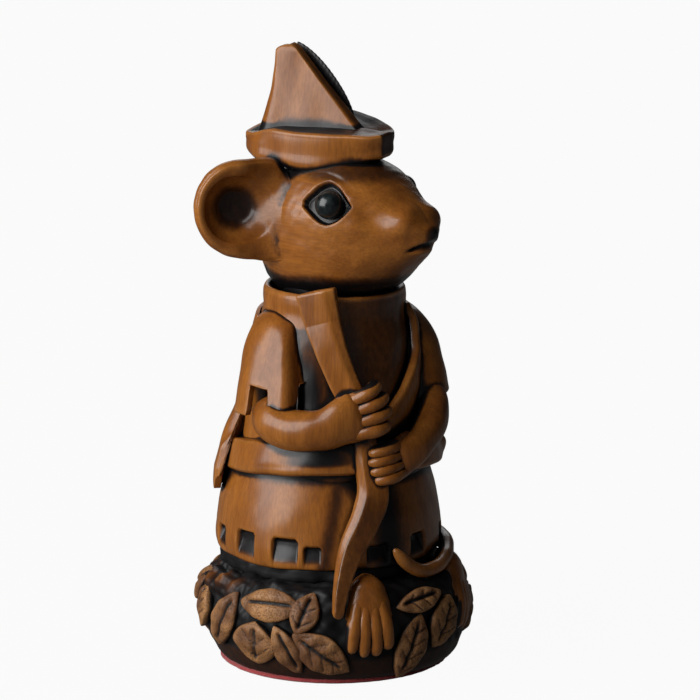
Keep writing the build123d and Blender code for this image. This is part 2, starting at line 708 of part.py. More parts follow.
def sleeve_dowel(angle):
    """Place of the blind dowel that pins a sleeve to the torso."""
    z = SKIRT_TOP + SLEEVE_PIN_SHARE * TORSO_H
    middle = polar(angle, body_r(z) + SLEEVE_PIN_BITE - ARM_DOWEL_L / 2, z)
    return Location(Plane(origin=middle, x_dir=(0, 0, 1), z_dir=outward(angle)))


def cut(shape, *others):
    """A shape without what other shapes take up."""
    for other in others:
        shape = largest(shape - other)
    return shape


def drill(shape, radius, length, place):
    """A shape with a dowel's hole, wider and longer than the dowel by the glue gap."""
    return shape - dowel(radius + GLUE_GAP, length + 2 * GLUE_GAP, place)


def build():
    """All pieces by node name, each cut so that it meets its neighbours face to face."""
    body_peg = Location((0, BODY_BACK, MOUND_TOP_Z))
    neck_peg = TORSO * Location((0, 0, CUP_FLOOR))
    hat_peg = HAT * Location((0, HAT_DOWEL_BACK, BRIM_FLOOR / 2))
    right_peg = TORSO * sleeve_dowel(RIGHT_SLEEVE_ANGLES[1])
    left_peg = TORSO * sleeve_dowel(LEFT_SLEEVE_ANGLES[1])
    node = {}
    node["felt_pad"] = felt_pad()
    mound = mound_form(0)
    skirt = BODY * skirt_form()
    torso = TORSO * torso_form(0, True)
    legs = cut(Pos(0, BODY_BACK, MOUND_TOP_Z) * Cylinder(LEG_R, HEM_GAP + OVERRUN, align=BASE), skirt)
    belt = cut(TORSO * belt_form(), skirt, torso)
    cape = cut(TORSO * cape_form(), torso, belt, skirt)
    right_sleeve = cut(TORSO * right_sleeve_form(), torso, cape, belt)
    left_sleeve = cut(TORSO * left_sleeve_form(), torso, cape, belt)
    strap = cut(TORSO * strap_form(), cape, left_sleeve, belt)
    bow = cut(bow_form(), torso, belt, skirt, mound, legs, strap, right_sleeve)
    solid_mouth = (torso, belt, skirt, cape, strap, bow)
    right_arm = cut(TORSO * right_arm_form(), *solid_mouth, right_sleeve, left_sleeve)
    left_arm = cut(TORSO * left_arm_form(), *solid_mouth, right_sleeve, left_sleeve, right_arm)
    foot = cut(foot_form(-FOOT_ANGLE), mound, legs, skirt)
    right_foot = cut(foot, bow)
    left_foot = mirror(foot, about=Plane.YZ)
    tail = cut(tail_form(), mound, legs, skirt, left_foot, right_foot, bow)
    head = head_solid()
    node["neck_dowel"] = dowel(NECK_DOWEL_R, NECK_DOWEL_L, neck_peg)
    node["body_dowel"] = dowel(BODY_DOWEL_R, BODY_DOWEL_L, body_peg)
    node["hat_dowel"] = dowel(HAT_DOWEL_R, HAT_DOWEL_L, hat_peg)
    node["right_sleeve_dowel"] = dowel(ARM_DOWEL_R, ARM_DOWEL_L, right_peg)
    node["left_sleeve_dowel"] = dowel(ARM_DOWEL_R, ARM_DOWEL_L, left_peg)
    node["base_mound"] = drill(mound, BODY_DOWEL_R, BODY_DOWEL_L, body_peg)
    node["leg_block"] = drill(legs, BODY_DOWEL_R, BODY_DOWEL_L, body_peg)
    node["skirt"] = drill(skirt, BODY_DOWEL_R, BODY_DOWEL_L, body_peg)
    torso = drill(torso, NECK_DOWEL_R, NECK_DOWEL_L, neck_peg)
    torso = drill(torso, ARM_DOWEL_R, ARM_DOWEL_L, right_peg)
    node["torso"] = drill(torso, ARM_DOWEL_R, ARM_DOWEL_L, left_peg)
    node["belt"] = belt
    node["cape"] = cape
    node["shoulder_strap"] = strap
    node["right_sleeve"] = drill(right_sleeve, ARM_DOWEL_R, ARM_DOWEL_L, right_peg)
    node["left_sleeve"] = drill(left_sleeve, ARM_DOWEL_R, ARM_DOWEL_L, left_peg)
    node["right_arm"] = right_arm
    node["left_arm"] = left_arm
    node["bow"] = bow
    node["right_foot"] = right_foot
    node["left_foot"] = left_foot
    node["tail"] = tail
    for side, name in ((-1, "right"), (1, "left")):
        node[name + "_eye"] = HEAD * (eye_place(side) * Sphere(EYE_R))
    head = drill(head, NECK_DOWEL_R, NECK_DOWEL_L, neck_peg)
    node["head"] = drill(head, HAT_DOWEL_R, HAT_DOWEL_L, hat_peg)
    brim = brim_form()
    ear = ear_form()
    node["left_ear"] = HEAD * (Pos(EAR_GLUE_GAP, 0, 0) * ear)
    node["right_ear"] = HEAD * (Pos(-EAR_GLUE_GAP, 0, 0) * mirror(ear, about=Plane.YZ))
    crown = cut(crown_form(), brim)
    node["hat_brim"] = drill(brim, HAT_DOWEL_R, HAT_DOWEL_L, hat_peg)
    node["hat_crown"] = drill(crown, HAT_DOWEL_R, HAT_DOWEL_L, hat_peg)
    node["hat_feather"] = cut(feather_form(), crown, brim)
    shell = mound_form(LEAF_T) - mound
    taken = [bow, right_foot, left_foot, tail, legs, skirt]
    for i, shares in enumerate(LEAF_SHARES):
        leaf = cut(leaf_form(shell, *shares), *taken)
        node[f"leaf_{i + 1:02d}"] = leaf
        taken.append(leaf)
    return node


os.makedirs("parts", exist_ok=True)
for name, shape in build().items():
    export_step(shape, f"parts/{name}.step")
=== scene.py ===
from functools import reduce

import bpy
import numpy as np
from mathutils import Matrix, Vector


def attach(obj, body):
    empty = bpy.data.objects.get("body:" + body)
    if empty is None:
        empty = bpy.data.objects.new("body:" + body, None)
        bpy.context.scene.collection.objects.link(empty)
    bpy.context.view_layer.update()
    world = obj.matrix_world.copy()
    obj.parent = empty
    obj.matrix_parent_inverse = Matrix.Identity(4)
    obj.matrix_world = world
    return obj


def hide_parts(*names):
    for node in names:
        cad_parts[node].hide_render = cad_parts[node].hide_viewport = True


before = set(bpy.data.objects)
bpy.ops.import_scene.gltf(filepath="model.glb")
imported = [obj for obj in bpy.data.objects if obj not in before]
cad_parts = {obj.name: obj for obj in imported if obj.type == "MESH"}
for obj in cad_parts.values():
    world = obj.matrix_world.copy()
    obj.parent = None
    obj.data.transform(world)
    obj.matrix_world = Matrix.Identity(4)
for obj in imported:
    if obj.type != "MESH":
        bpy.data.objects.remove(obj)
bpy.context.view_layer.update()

# A carved mouse in a woodsman's dress. Shapes are worked out in millimetres, in the part's own frame:
# +Z is up, the mouse faces -Y and its right side is -X. Angles are degrees from the front, plus to its left.

MM = 0.001
TAU = 2 * np.pi
UPRIGHT = np.array((0, 0, 1.0))

# Places of the body, head and hat, as the solids have them
MOUND_FOOT = 0.9
MOUND_TOP = 19.3
BODY_BACK = 2.4
TORSO_BACK = 1.2
BODY_LEAN = 0.6
SKIRT_TOP = 18.5
HEAD_PLACE = (0.0, 0.63, 86.5)
HEAD_TURN = 5.0
HAT_PLACE = (1.2, 0.63, 98.7)
HAT_TURN = 6.0
HAT_TILT = 9.0
HAT_PITCH = -2.0


# Working out shapes

def smooth(low, high, x):
    """Soft step from 0 at low to 1 at high, three times the square less twice the cube."""
    t = np.clip((x - low) / (high - low), 0, 1)
    return t * t * (3 - 2 * t)


def bump(x, centre, width):
    """Bell curve, one at its centre."""
    return np.exp(-((x - centre) / width) ** 2)


def apart(angle, centre):
    """Difference of two angles in degrees, the short way round."""
    return (angle - centre + 180) % 360 - 180


def beside(angle, centre, width):
    """Bell curve round one side of a piece, by angle in degrees."""
    return bump(apart(angle, centre), 0, width)


def deepest(*shades):
    """Largest of several shades at each point."""
    return reduce(np.maximum, shades)


def steps(count):
    """Even steps from 0 to 1."""
    return np.linspace(0, 1, count)


def swept(count, share=1.0):
    """Steps from -1 to 1 that close up at both ends, as a sine does."""
    return np.sin(np.linspace(-0.5, 0.5, count) * np.pi * share)


def through(keys, values, at):
    """Smooth curve through values at keys: cubic pieces whose slopes are the weighted mean of the chords."""
    keys = np.asarray(keys, float)
    flat = np.asarray(values, float)
    single = flat.ndim == 1
    flat = flat.reshape(len(keys), -1)
    step = np.diff(keys)[:, None]
    chord = np.diff(flat, axis=0) / step
    slope = np.concatenate([chord[:1], np.zeros_like(flat[1:-1]), chord[-1:]])
    slope[1:-1] = (chord[:-1] * step[1:] + chord[1:] * step[:-1]) / (step[1:] + step[:-1])
    at = np.asarray(at, float)
    cell = np.clip(np.searchsorted(keys, at, side="right") - 1, 0, len(keys) - 2)
    width = step[cell, 0]
    t = ((at - keys[cell]) / width)[..., None]
    width = width[..., None]
    start, end = flat[cell], flat[cell + 1]
    out = start * (1 + 2 * t) * (1 - t) ** 2 + end * t * t * (3 - 2 * t)
    out = out + width * (slope[cell] * t * (1 - t) ** 2 - slope[cell + 1] * t * t * (1 - t))
    return out[..., 0] if single else out


def run_of(points):
    """Length of a line up to each of its points."""
    return np.concatenate([[0], np.cumsum(np.linalg.norm(np.diff(points, axis=0), axis=1))])


def outline(corners, count):
    """Line from corner to corner with no smoothing, stepped evenly by its length."""
    corners = np.asarray(corners, float)
    length = run_of(corners)
    at = np.linspace(0, length[-1], count)
    return np.stack([np.interp(at, length, column) for column in corners.T], -1)


def along(points, count):
    """Smooth route through points, stepped evenly by its length."""
    points = np.asarray(points, float)
    keys = run_of(points)
    return outline(through(keys, points, np.linspace(0, keys[-1], 40 * len(points))), count)


def round_about(count):
    """Angles once round, in radians, without the last."""
    return np.linspace(0, TAU, count, endpoint=False)


def polar(angle, radius, z):
    """Points at angles from the front in degrees, about the upright axis."""
    a = np.radians(angle)
    x, y, z = np.broadcast_arrays(radius * np.sin(a), -radius * np.cos(a), z)
    return np.stack([x, y, z], -1)


def level_way(angle):
    """Level vectors of length one out from the axis, at angles from the front."""
    return polar(angle, 1.0, 0.0)


def from_axis(grid):
    """Distance of points from the upright axis."""
    return np.hypot(grid[..., 0], grid[..., 1])


def turned(points, axis, degrees):
    """Points turned about one axis of the frame."""
    a, b = ((1, 2), (2, 0), (0, 1))[axis]
    c, s = np.cos(np.radians(degrees)), np.sin(np.radians(degrees))
    out = points.copy()
    out[..., a] = c * points[..., a] - s * points[..., b]
    out[..., b] = s * points[..., a] + c * points[..., b]
    return out


def on_skirt(points):
    """Points of the skirt set on the mound, with the body's lean."""
    return turned(points, 0, BODY_LEAN) + (0, BODY_BACK, MOUND_TOP)


def on_torso(points):
    """Points of the torso and what it carries set on the mound, with the body's lean."""
    return turned(points, 0, BODY_LEAN) + (0, TORSO_BACK, MOUND_TOP)


def on_head(points):
    """Points of the head set in place and turned."""
    return turned(points, 2, HEAD_TURN) + HEAD_PLACE


def on_hat(points):
    """Points of the hat tilted, pitched and turned on the head."""
    return turned(turned(turned(points, 1, -HAT_TILT), 0, -HAT_PITCH), 2, HAT_TURN) + HAT_PLACE


def unit(vectors):
    """Vectors at length one."""
    return vectors / np.maximum(np.linalg.norm(vectors, axis=-1, keepdims=True), 1e-9)


def facing(grid):
    """Outward unit normals of a grid that closes round: the cross product of its row and column steps."""
    across = np.roll(grid, -1, 1) - np.roll(grid, 1, 1)
    normal = np.cross(np.gradient(grid, axis=0), across)
    if (grid * normal).sum() < (grid.mean((0, 1)) * normal).sum():
        normal = -normal
    return unit(normal)


def ripple(points, length, seed):
    """Slow hand-cut waves: the mean of ten sines in seeded directions, of about one length in mm."""
    rng = np.random.default_rng(seed)
    ways = unit(rng.normal(size=(10, 3))) * (TAU / length * rng.uniform(0.7, 1.5, (10, 1)))
    return np.sin(points @ ways.T + rng.uniform(0, TAU, 10)).mean(-1) * 2.2


def carve(grid, depth):
    """A grid pressed inward along its normals by a depth at each point."""
    return grid - facing(grid) * depth[..., None]


def hand_cut(grid, depth, length, seed):
    """A grid pressed in by hand-cut waves of one depth and length."""
    return carve(grid, depth * ripple(grid, length, seed))


def limb(route, out, up, lead, columns, squareness=1.0):
    """Ovals set square to a route: half-width out along lead and up across it, squared off by a power."""
    way = unit(np.gradient(route, axis=0))
    side = unit(lead - way * (lead * way).sum(-1, keepdims=True))
    rise = np.cross(way, side)
    t = round_about(columns)
    c = np.sign(np.cos(t)) * np.abs(np.cos(t)) ** squareness
    s = np.sign(np.sin(t)) * np.abs(np.sin(t)) ** squareness
    return (route[:, None] + (out[:, None] * c)[..., None] * side[:, None]
            + (up[:, None] * s)[..., None] * rise[:, None])


def blunt(count, head, tail):
    """Steps from 0 to 1 drawn close together at both ends, and a size at each that rounds off the ends."""
    t = 0.5 - 0.5 * np.cos(np.pi * steps(count))
    t = 0.5 * t + 0.5 * steps(count)
    size = np.ones(count)
    for end, run in ((head, t), (tail, 1 - t)):
        if end:
            size *= np.sqrt(np.clip(1 - (1 - np.clip(run / end, 0, 1)) ** 2, 0.0004, 1))
    return t, size


def skin(grid, stain_and_shade=0.0):
    """Closed skin over a grid, painted with stain and painted shade: columns join round, end rows close on
    their middles.
    """
    rows, columns = grid.shape[:2]
    points = np.concatenate([grid.reshape(-1, 3), grid[:1].mean(1), grid[-1:].mean(1)])
    row = np.arange(rows - 1)[:, None] * columns
    here = np.arange(columns)[None]
    after = (here + 1) % columns
    below = row + columns
    quads = np.stack([row + here, row + after, below + after, below + here], -1).reshape(-1, 4)
    first, last = rows * columns, rows * columns + 1
    end = (rows - 1) * columns
    tris = np.concatenate([
        np.stack([np.full(columns, first), after[0], here[0]], -1),
        np.stack([np.full(columns, last), end + here[0], end + after[0]], -1),
    ])
    a, b, c, d = (points[quads[:, i]] for i in range(4))
    if np.einsum("ij,ij->", (a + b + c + d) / 4 - points.mean(0), np.cross(c - a, d - b)) < 0:
        quads, tris = quads[:, ::-1], tris[:, ::-1]
    stain_and_shade = np.broadcast_to(stain_and_shade, (rows, columns))
    painted = np.concatenate([stain_and_shade.ravel(), [stain_and_shade[0].mean(), stain_and_shade[-1].mean()]])
    return {"points": points, "quads": quads, "tris": tris, "stain_and_shade": painted}


def together(*skins):
    """Several closed skins as one piece."""
    shift = np.cumsum([0] + [len(s["points"]) for s in skins])
    whole = {}
    for key in skins[0]:
        shifts = shift if key in ("quads", "tris") else 0 * shift
        whole[key] = np.concatenate([s[key] + n for s, n in zip(skins, shifts)])
    return whole


def lathe(profile, columns):
    """Profile of radius and height turned about the upright axis, with the angle at each point."""
    angle = np.degrees(round_about(columns))
    angle = np.where(angle > 180, angle - 360, angle)
    grid = polar(angle[None], profile[:, :1], profile[:, 1:])
    return grid, np.broadcast_to(angle[None], grid.shape[:2])


# Body radius against height above the mound, from the hem to the collar
BODY_HEIGHTS = (2.2, 18.5, 33.5, 45.7, 49.9, 54.3)
BODY_RADII = (21.9, 19.4, 16.9, 14.7, 13.8, 13.8)


def body_r(z):
    """Radius of the body at a height above the mound."""
    return np.interp(z, BODY_HEIGHTS, BODY_RADII)


# Mound, felt and leaves

FELT_EDGE = ((0.3, 0), (22.0, 0), (22.3, 0.2), (22.35, 0.5), (22.3, 0.8), (22.0, 0.9), (0.3, 0.9))
FELT_SHIFT = (-0.35, 0.35, 0)
MOUND_SIDE = (
    (0.3, 0.9), (21.4, 0.9), (22.4, 1.0), (23.3, 1.8), (24.3, 4.0), (25.1, 7.4), (25.3, 10.6),
    (24.9, 14.2), (24.0, 16.8), (22.6, 18.6), (20.6, 19.3), (17.0, 19.4), (0.3, 19.4),
)
MOUND_LINE = along(MOUND_SIDE, 400)
MOUND_RUN = run_of(MOUND_LINE)
MOUND_R = 25.0


def felt_disc():
    """Thin disc with a soft edge that stands a little beyond the mound's foot."""
    grid = lathe(outline(FELT_EDGE, 90), 300)[0]
    edge = smooth(21, 22.4, from_axis(grid))
    grid[..., :2] *= (1 + 0.004 * edge * ripple(grid, 2.5, 3))[..., None]
    return skin(grid + FELT_SHIFT)


def mound_bulge(angle, z):
    """Swell of the mound's side, on the right of the back."""
    return 1.1 * beside(angle, -132, 38) * smooth(2.5, 8, z) * (1 - smooth(15, 19, z))


def mound_block():
    """Turned block with a lumpy cut ground above a smooth foot, bark-like at the upper right of the back."""
    grid, angle = lathe(along(MOUND_SIDE, 170), 400)
    z = grid[..., 2]
    wall = smooth(14, 20, from_axis(grid))
    ground = smooth(4.6, 6.4, z) * wall
    bark = beside(angle, -118, 26) * smooth(13, 16.5, z) * wall
    lumps = ripple(grid, 4.5, 13)
    depth = ground * (0.35 - 0.45 * ripple(grid, 6.0, 11) - 0.22 * ripple(grid, 2.6, 12))
    depth -= bark * (0.8 + 0.7 * lumps + 0.45 * ripple(grid, 2.0, 16))
    depth -= mound_bulge(angle, z) + 0.06 * ripple(grid, 5, 14)
    stain_and_shade = 0.62 + ground * (0.24 + 0.12 * ripple(grid, 5, 15))
    stain_and_shade = stain_and_shade - bark * (0.12 + 0.45 * np.clip(lumps, 0, 1))
    return skin(carve(grid, depth), stain_and_shade)


# Leaves: angle, height share, turn, length share and width share
LEAVES = (
    (-76, 0.78, 2, 1.12, 0.78), (-83, 0.36, 84, 0.72, 1.25), (-101, 0.54, 66, 1.0, 0.72),
    (-121, 0.58, 80, 0.75, 0.85), (-59, 0.74, 70, 0.70, 0.70), (-67, 0.33, -64, 0.86, 0.66),
    (-52, 0.32, -35, 1.05, 0.95), (-11, 0.34, 70, 1.05, 0.85), (8, 0.52, 62, 0.85, 0.95),
    (-5, 0.80, 6, 0.92, 0.56), (50, 0.40, -60, 1.0, 0.95), (63, 0.72, 20, 0.90, 0.85),
    (78, 0.38, 70, 1.0, 0.90), (96, 0.70, -15, 0.95, 0.90), (108, 0.34, -70, 1.0, 0.85),
    (127, 0.64, 35, 1.0, 0.95), (143, 0.32, 80, 0.9, 1.0), (160, 0.66, -30, 1.0, 0.9),
    (176, 0.34, 65, 1.0, 0.9), (196, 0.68, 15, 0.95, 0.9), (211, 0.36, -70, 1.0, 0.95),
    (225, 0.72, 40, 0.85, 0.8),
)
LEAF_L = 12.6
LEAF_W = 8.1
LEAF_T = 1.4
LEAF_SINK = 0.9
SLIT_DEPTH = 0.85
VEIN_DEPTH = 0.22
VEIN_GAP = 2.6


def on_mound(angle, height, lift):
    """Points on the mound's side at a run up its outline, lifted off it along its normal."""
    way = np.gradient(MOUND_LINE, axis=0)
    normal = unit(np.stack([way[:, 1], -way[:, 0]], -1))
    r, z = (np.interp(height, MOUND_RUN, base) + lift * np.interp(height, MOUND_RUN, rise)
            for base, rise in zip(MOUND_LINE.T, normal.T))
    return polar(angle, r + mound_bulge(angle, z), z)


def mound_run(z):
    """Run up the mound's outline at a height on its side."""
    return np.interp(z, MOUND_LINE[20:-60, 1], MOUND_RUN[20:-60])


def leaf_shape(number, angle, height_share, turn, length_share, width_share):
    """Plump leaf laid on the mound: a lens-shaped pad, crowned across, with a slit midrib and side veins."""
    rng = np.random.default_rng(100 + number)
    s = swept(72, 0.999)
    t = round_about(56)
    half_l = 0.5 * LEAF_L * length_share
    full_w = 0.5 * LEAF_W * width_share
    half_w = full_w * np.clip(1 - np.abs(s) ** 1.8, 0.0005, 1) ** 0.85
    a = s[:, None] * half_l + 0 * t
    b = half_w[:, None] * np.cos(t)
    across = np.cos(t)[None] + 0 * a
    top = np.sin(t)[None] > 0
    body = np.sqrt(np.clip(half_w / full_w, 0, 1))[:, None]
    crown = LEAF_T * body * np.abs(np.sin(t)) ** 0.55 * (1 + 0.10 * np.cos(2 * t))
    slit_curve = rng.uniform(-0.5, 0.5) * (1 - (a / half_l) ** 2)
    slit = bump(b, slit_curve, 0.34) * smooth(0.80, 0.55, np.abs(s))[:, None]
    phase = np.abs(b - slit_curve) * 0.9 - a
    veins = smooth(0.72, 0.95, np.cos(TAU * phase / VEIN_GAP)) * smooth(0.9, 0.6, np.abs(across))
    veins = veins * smooth(0.85, 0.5, np.abs(s))[:, None] * (rng.uniform(0, 1) > 0.45)
    lift = np.where(top, crown + 0.15 - SLIT_DEPTH * slit - VEIN_DEPTH * veins, -LEAF_SINK)
    lift = lift + 0.45 * rng.uniform(-1, 1) * (a / half_l) + 0.35 * rng.uniform(-1, 1) * across
    lift = lift + 0.10 * np.sin(a * 1.9 + number) * top
    c, d = np.cos(np.radians(turn)), np.sin(np.radians(turn))
    run = mound_run(MOUND_FOOT + height_share * (MOUND_TOP - MOUND_FOOT)) + a * d + b * c
    place = angle + np.degrees((a * c - b * d) / MOUND_R)
    return skin(on_mound(place, run, lift), np.where(top, np.maximum(slit, 0.55 * veins), 0.8))


# Skirt, legs, belt and torso

LEG_SIDE = ((0.3, -0.4), (20.6, -0.4), (20.9, 0.2), (20.8, 2.6), (20.0, 3.4), (0.3, 3.4))
SKIRT_SIDE = (
    (0.3, 2.2), (18.0, 2.2), (20.9, 2.25), (21.5, 2.6), (21.85, 3.6), (22.0, 5.2), (21.8, 8.0),
    (21.4, 11.0), (20.8, 14.0), (20.1, 16.8), (19.4, 19.4), (18.9, 21.4), (17.4, 22.0), (0.3, 22.0),
)
HEM_R = 21.9
HEM_Z = 2.2
# Notches in the skirt's hem: angle, width and height
HEM_NOTCHES = (
    (-141, 4.4, 4.8), (-116, 4.2, 5.4), (-92, 5.0, 6.3), (-67.5, 5.2, 6.2), (-53, 3.4, 5.0),
    (-19, 4.6, 5.0), (7, 4.6, 5.8), (40, 4.6, 5.2), (65, 4.4, 4.6), (90, 5.0, 5.2),
    (115, 4.4, 4.8), (141, 4.6, 5.4), (167, 4.8, 4.8), (193, 4.4, 5.0),
)
NOTCH_DEPTH = 1.35
BELT_SIDE = (
    (16.6, 16.9), (18.6, 16.7), (20.4, 16.8), (20.95, 17.3), (20.9, 18.6), (20.55, 20.4),
    (20.15, 22.0), (19.7, 22.9), (18.9, 23.1), (17.0, 23.1), (15.6, 20.0), (16.6, 16.95),
)
BELT_TILT = 2.9
BELT_RAISE = 1.7
TORSO_SIDE = (
    (0.3, 18.5), (17.6, 18.5), (18.5, 19.4), (18.3, 23.0), (17.7, 28.0), (16.9, 33.5), (15.9, 39.8),
    (14.9, 45.4), (14.05, 48.6), (13.75, 50.6), (13.8, 52.8), (13.55, 54.0), (12.9, 54.45), (12.2, 54.1),
    (11.75, 53.2), (11.6, 51.8), (11.0, 51.1), (0.3, 51.1),
)


def leg_block():
    """Round block under the hem, cut roughly, painted dark as the shade under the skirt."""
    grid = lathe(outline(LEG_SIDE, 60), 180)[0]
    grid = carve(grid, 0.35 * ripple(grid, 4, 21) + 0.15 * ripple(grid, 1.8, 23))
    # Painted dark as the shade under the skirt
    return skin(grid + (0, BODY_BACK, MOUND_TOP), 0.9)


def skirt_bell():
    """Bell with soft folds and square notches pressed in along its hem, deep above and run out below."""
    grid, angle = lathe(along(SKIRT_SIDE, 165), 580)
    z = grid[..., 2]
    wall = smooth(15, 19, from_axis(grid))
    folds = 0.22 * np.cos(np.radians(5 * angle + 40)) + 0.14 * np.cos(np.radians(9 * angle - 20))
    depth = -0.5 * folds * (1 - smooth(9, 17, z)) + 0.07 * ripple(grid, 7, 22)
    notch = np.zeros_like(z)
    for centre, width, height in HEM_NOTCHES:
        over = z - HEM_Z - height
        gap = np.abs(np.radians(apart(angle, centre))) * HEM_R - width / 2
        corner = 0.7 * np.clip(over + 0.8, 0, 1) ** 2
        notch = np.maximum(notch, smooth(0.16, -0.16, gap + corner) * smooth(0.16, -0.16, over))
    depth = wall * (depth + NOTCH_DEPTH * notch * smooth(2.4, 7.0, z))
    # Notch floors get stain and painted shade, deepest at the top; painted shade under the belt, beside the
    # bow and on the left side, and the bow's painted shadow slanting down the skirt
    floors = 0.92 * notch * smooth(2.4, 5.4, z)
    shade_under_belt = 0.8 * smooth(17.5, 20.5, z)
    shade_by_bow_and_left_side = 0.7 * beside(angle, -13, 9) + 0.30 * beside(angle, 25, 40)
    painted_bow_shadow = 0.55 * beside(angle, -49 + 0.5 * z, 6)
    return skin(on_skirt(carve(grid, depth)), wall * deepest(floors, shade_under_belt, shade_by_bow_and_left_side, painted_bow_shadow))


def belt_band():
    """Raised band with rolled edges, a little uneven and tilted, with a knot on the left of the front."""
    grid, angle = lathe(along(BELT_SIDE, 84), 420)
    z = grid[..., 2]
    face = smooth(18.2, 19.6, from_axis(grid))
    knot = beside(angle, 52, 7) * bump(z, 20.4, 2.2)
    # Painted shade on the belt where the right forearm hangs over it
    shade_under_arm = beside(angle, -52, 22) * smooth(17.6, 19.4, z) * face
    grid = carve(grid, face * (0.10 * ripple(grid, 8, 31) - 1.5 * knot))
    grid[..., 2] += BELT_TILT * np.cos(np.radians(apart(angle, -32))) + BELT_RAISE
    return skin(on_torso(grid), 0.85 * shade_under_arm)


def torso_block():
    """Turned trunk with a rolled collar round a cup for the neck; chest stained and painted with shade,
    painted shade beside the bow, under the strap and low at the front, right side wiped.
    """
    grid, angle = lathe(along(TORSO_SIDE, 230), 410)
    z = grid[..., 2]
    radius = from_axis(grid)
    wall = smooth(11.9, 12.8, radius) * smooth(18.5, 19.2, z)
    chest = smooth(52, 34, np.abs(apart(angle, -8))) * smooth(24, 30, z) * (1 - smooth(53, 54.4, z))
    shoulders = (beside(angle, -98, 30) + beside(angle, 92, 34)) * bump(z, 44, 6)
    depth = wall * (0.10 * ripple(grid, 8, 41) + 0.55 * chest - 0.5 * shoulders)
    # The cup is painted dark; beside the bow, under the strap and low at the front the paint is painted
    # shade, and on the chest it is stain and painted shade
    cup = smooth(12.1, 11.7, radius) * smooth(50.9, 51.2, z)
    beside_bow = beside(angle, -64, 17) * smooth(22, 27, z) * (1 - smooth(36, 52, z))
    under_strap = beside(angle, 34, 15) * smooth(24, 30, z) * (1 - smooth(44, 49, z))
    low_front = beside(angle, -20, 34) * smooth(34, 28, z)
    stain_and_shade = deepest(0.48 * chest, 0.9 * beside_bow, 0.75 * under_strap, 0.9 * low_front)
    collar = beside(angle, -82, 26) * smooth(47, 49.5, z) * wall
    flank = beside(angle, -112, 17) * smooth(36, 30, z) * wall
    stain_and_shade = stain_and_shade * wall * (1 - collar) + 0.95 * cup - 0.8 * np.maximum(collar, flank)
    return skin(on_torso(carve(grid, depth)), stain_and_shade)


CAPE_HALF_ANGLE = 59.0
CAPE_HEM = 14.1
CAPE_TOP = 47.9
CAPE_T = 1.35
CAPE_STAND = 0.62
CAPE_HUG = 1.9


def cape_sheet():
    """Sheet over the back: a thin strip from shoulder to hem, carried round from side to side.

    It flares to the hem, and its side edges are drawn in to the torso.
    """
    share = swept(220)
    ends = np.abs(share)[:, None]
    side = share * CAPE_HALF_ANGLE
    low = CAPE_HEM + 3.2 * smooth(0.86, 1.0, np.abs(share)) ** 2
    high = CAPE_TOP + 1.6 * (1 - share ** 2)
    t = round_about(150)
    height = np.clip(0.5 + 0.5 * np.cos(t) * 1.02, 0, 1)
    outer = np.sign(np.sin(t)) * np.abs(np.sin(t)) ** 0.35
    z = low[:, None] + (high - low)[:, None] * height[None]
    flare = 0.9 * smooth(30, 23, z) + 0.9 * smooth(24, 14, z) + 0.8 * smooth(34, 26, z)
    thick = (CAPE_T + 1.2 * smooth(36, 22, z)) * outer * (0.75 + 0.25 * np.cos(np.radians(side)))[:, None]
    fold = 0.35 * np.cos(np.radians(side * 5.2))[:, None] * smooth(44, 20, z)
    hug = smooth(0.84, 1.0, ends) * smooth(22.5, 26, z)
    radius = body_r(np.maximum(z, SKIRT_TOP)) + flare + 0.5 * thick + CAPE_STAND + fold
    radius = radius - 0.4 * (1 - smooth(1.0, 0.96, ends)) * thick - CAPE_HUG * hug
    return skin(on_torso(polar(180 + side[:, None], radius, z)), -0.6)


STRAP_ANGLES = (50, 47, 42, 33, 17, 1, -9, -20)
STRAP_HEIGHTS = (50.2, 48.4, 45.0, 40.6, 36.4, 32.2, 29.6, 27.0)
STRAP_HALF_T = 1.15
STRAP_HALF_W = 2.75


def strap_band():
    """Flat band with rounded edges laid over the chest from the left shoulder to the bow hand."""
    keys = np.stack([STRAP_ANGLES, STRAP_HEIGHTS], -1)
    angle, z = through(steps(len(keys)), keys, steps(150)).T
    route = polar(angle, body_r(z) + 0.55 - smooth(47, 50, z), z)
    size = blunt(150, 0.03, 0.03)[1]
    grid = limb(route, STRAP_HALF_T * size, STRAP_HALF_W * size, level_way(angle), 72, 0.55)
    return skin(on_torso(hand_cut(grid, 0.07, 4, 45)))


# Sleeves and arms

SLEEVE_KEYS = (0.0, 0.07, 0.18, 0.38, 0.70, 1.0)
SLEEVE_SHARES = (0.04, 0.40, 0.64, 0.83, 0.94, 0.98)
SLEEVE_R = 8.3
SLEEVE_L = 17.5
SLEEVE_HEM_R = 6.6
SLEEVE_WALL = 1.5
SLEEVE_FLAT = 0.82
SLEEVE_HOLLOW = 0.42
# Each sleeve: angles, heights and shares of the body's radius down its route, hem notches, painted shade and
# seed
RIGHT_SLEEVE = (
    (-103, -100, -96, -92, -90), (51.4, 48.2, 43.2, 37.5, 31.5), (0.76, 0.84, 0.90, 0.93, 0.95),
    ((-13, 3.9, 4.2), (-98, 4.6, 4.8), (66, 3.6, 3.8), (148, 3.6, 3.6)), 0.0, 51,
)
LEFT_SLEEVE = (
    (74, 68, 60, 52, 47), (51.2, 48.2, 43.8, 38.6, 33.5), (0.78, 0.86, 0.92, 0.93, 0.93),
    ((-80, 3.8, 4.0), (180, 3.6, 3.6)), 0.25, 52,
)


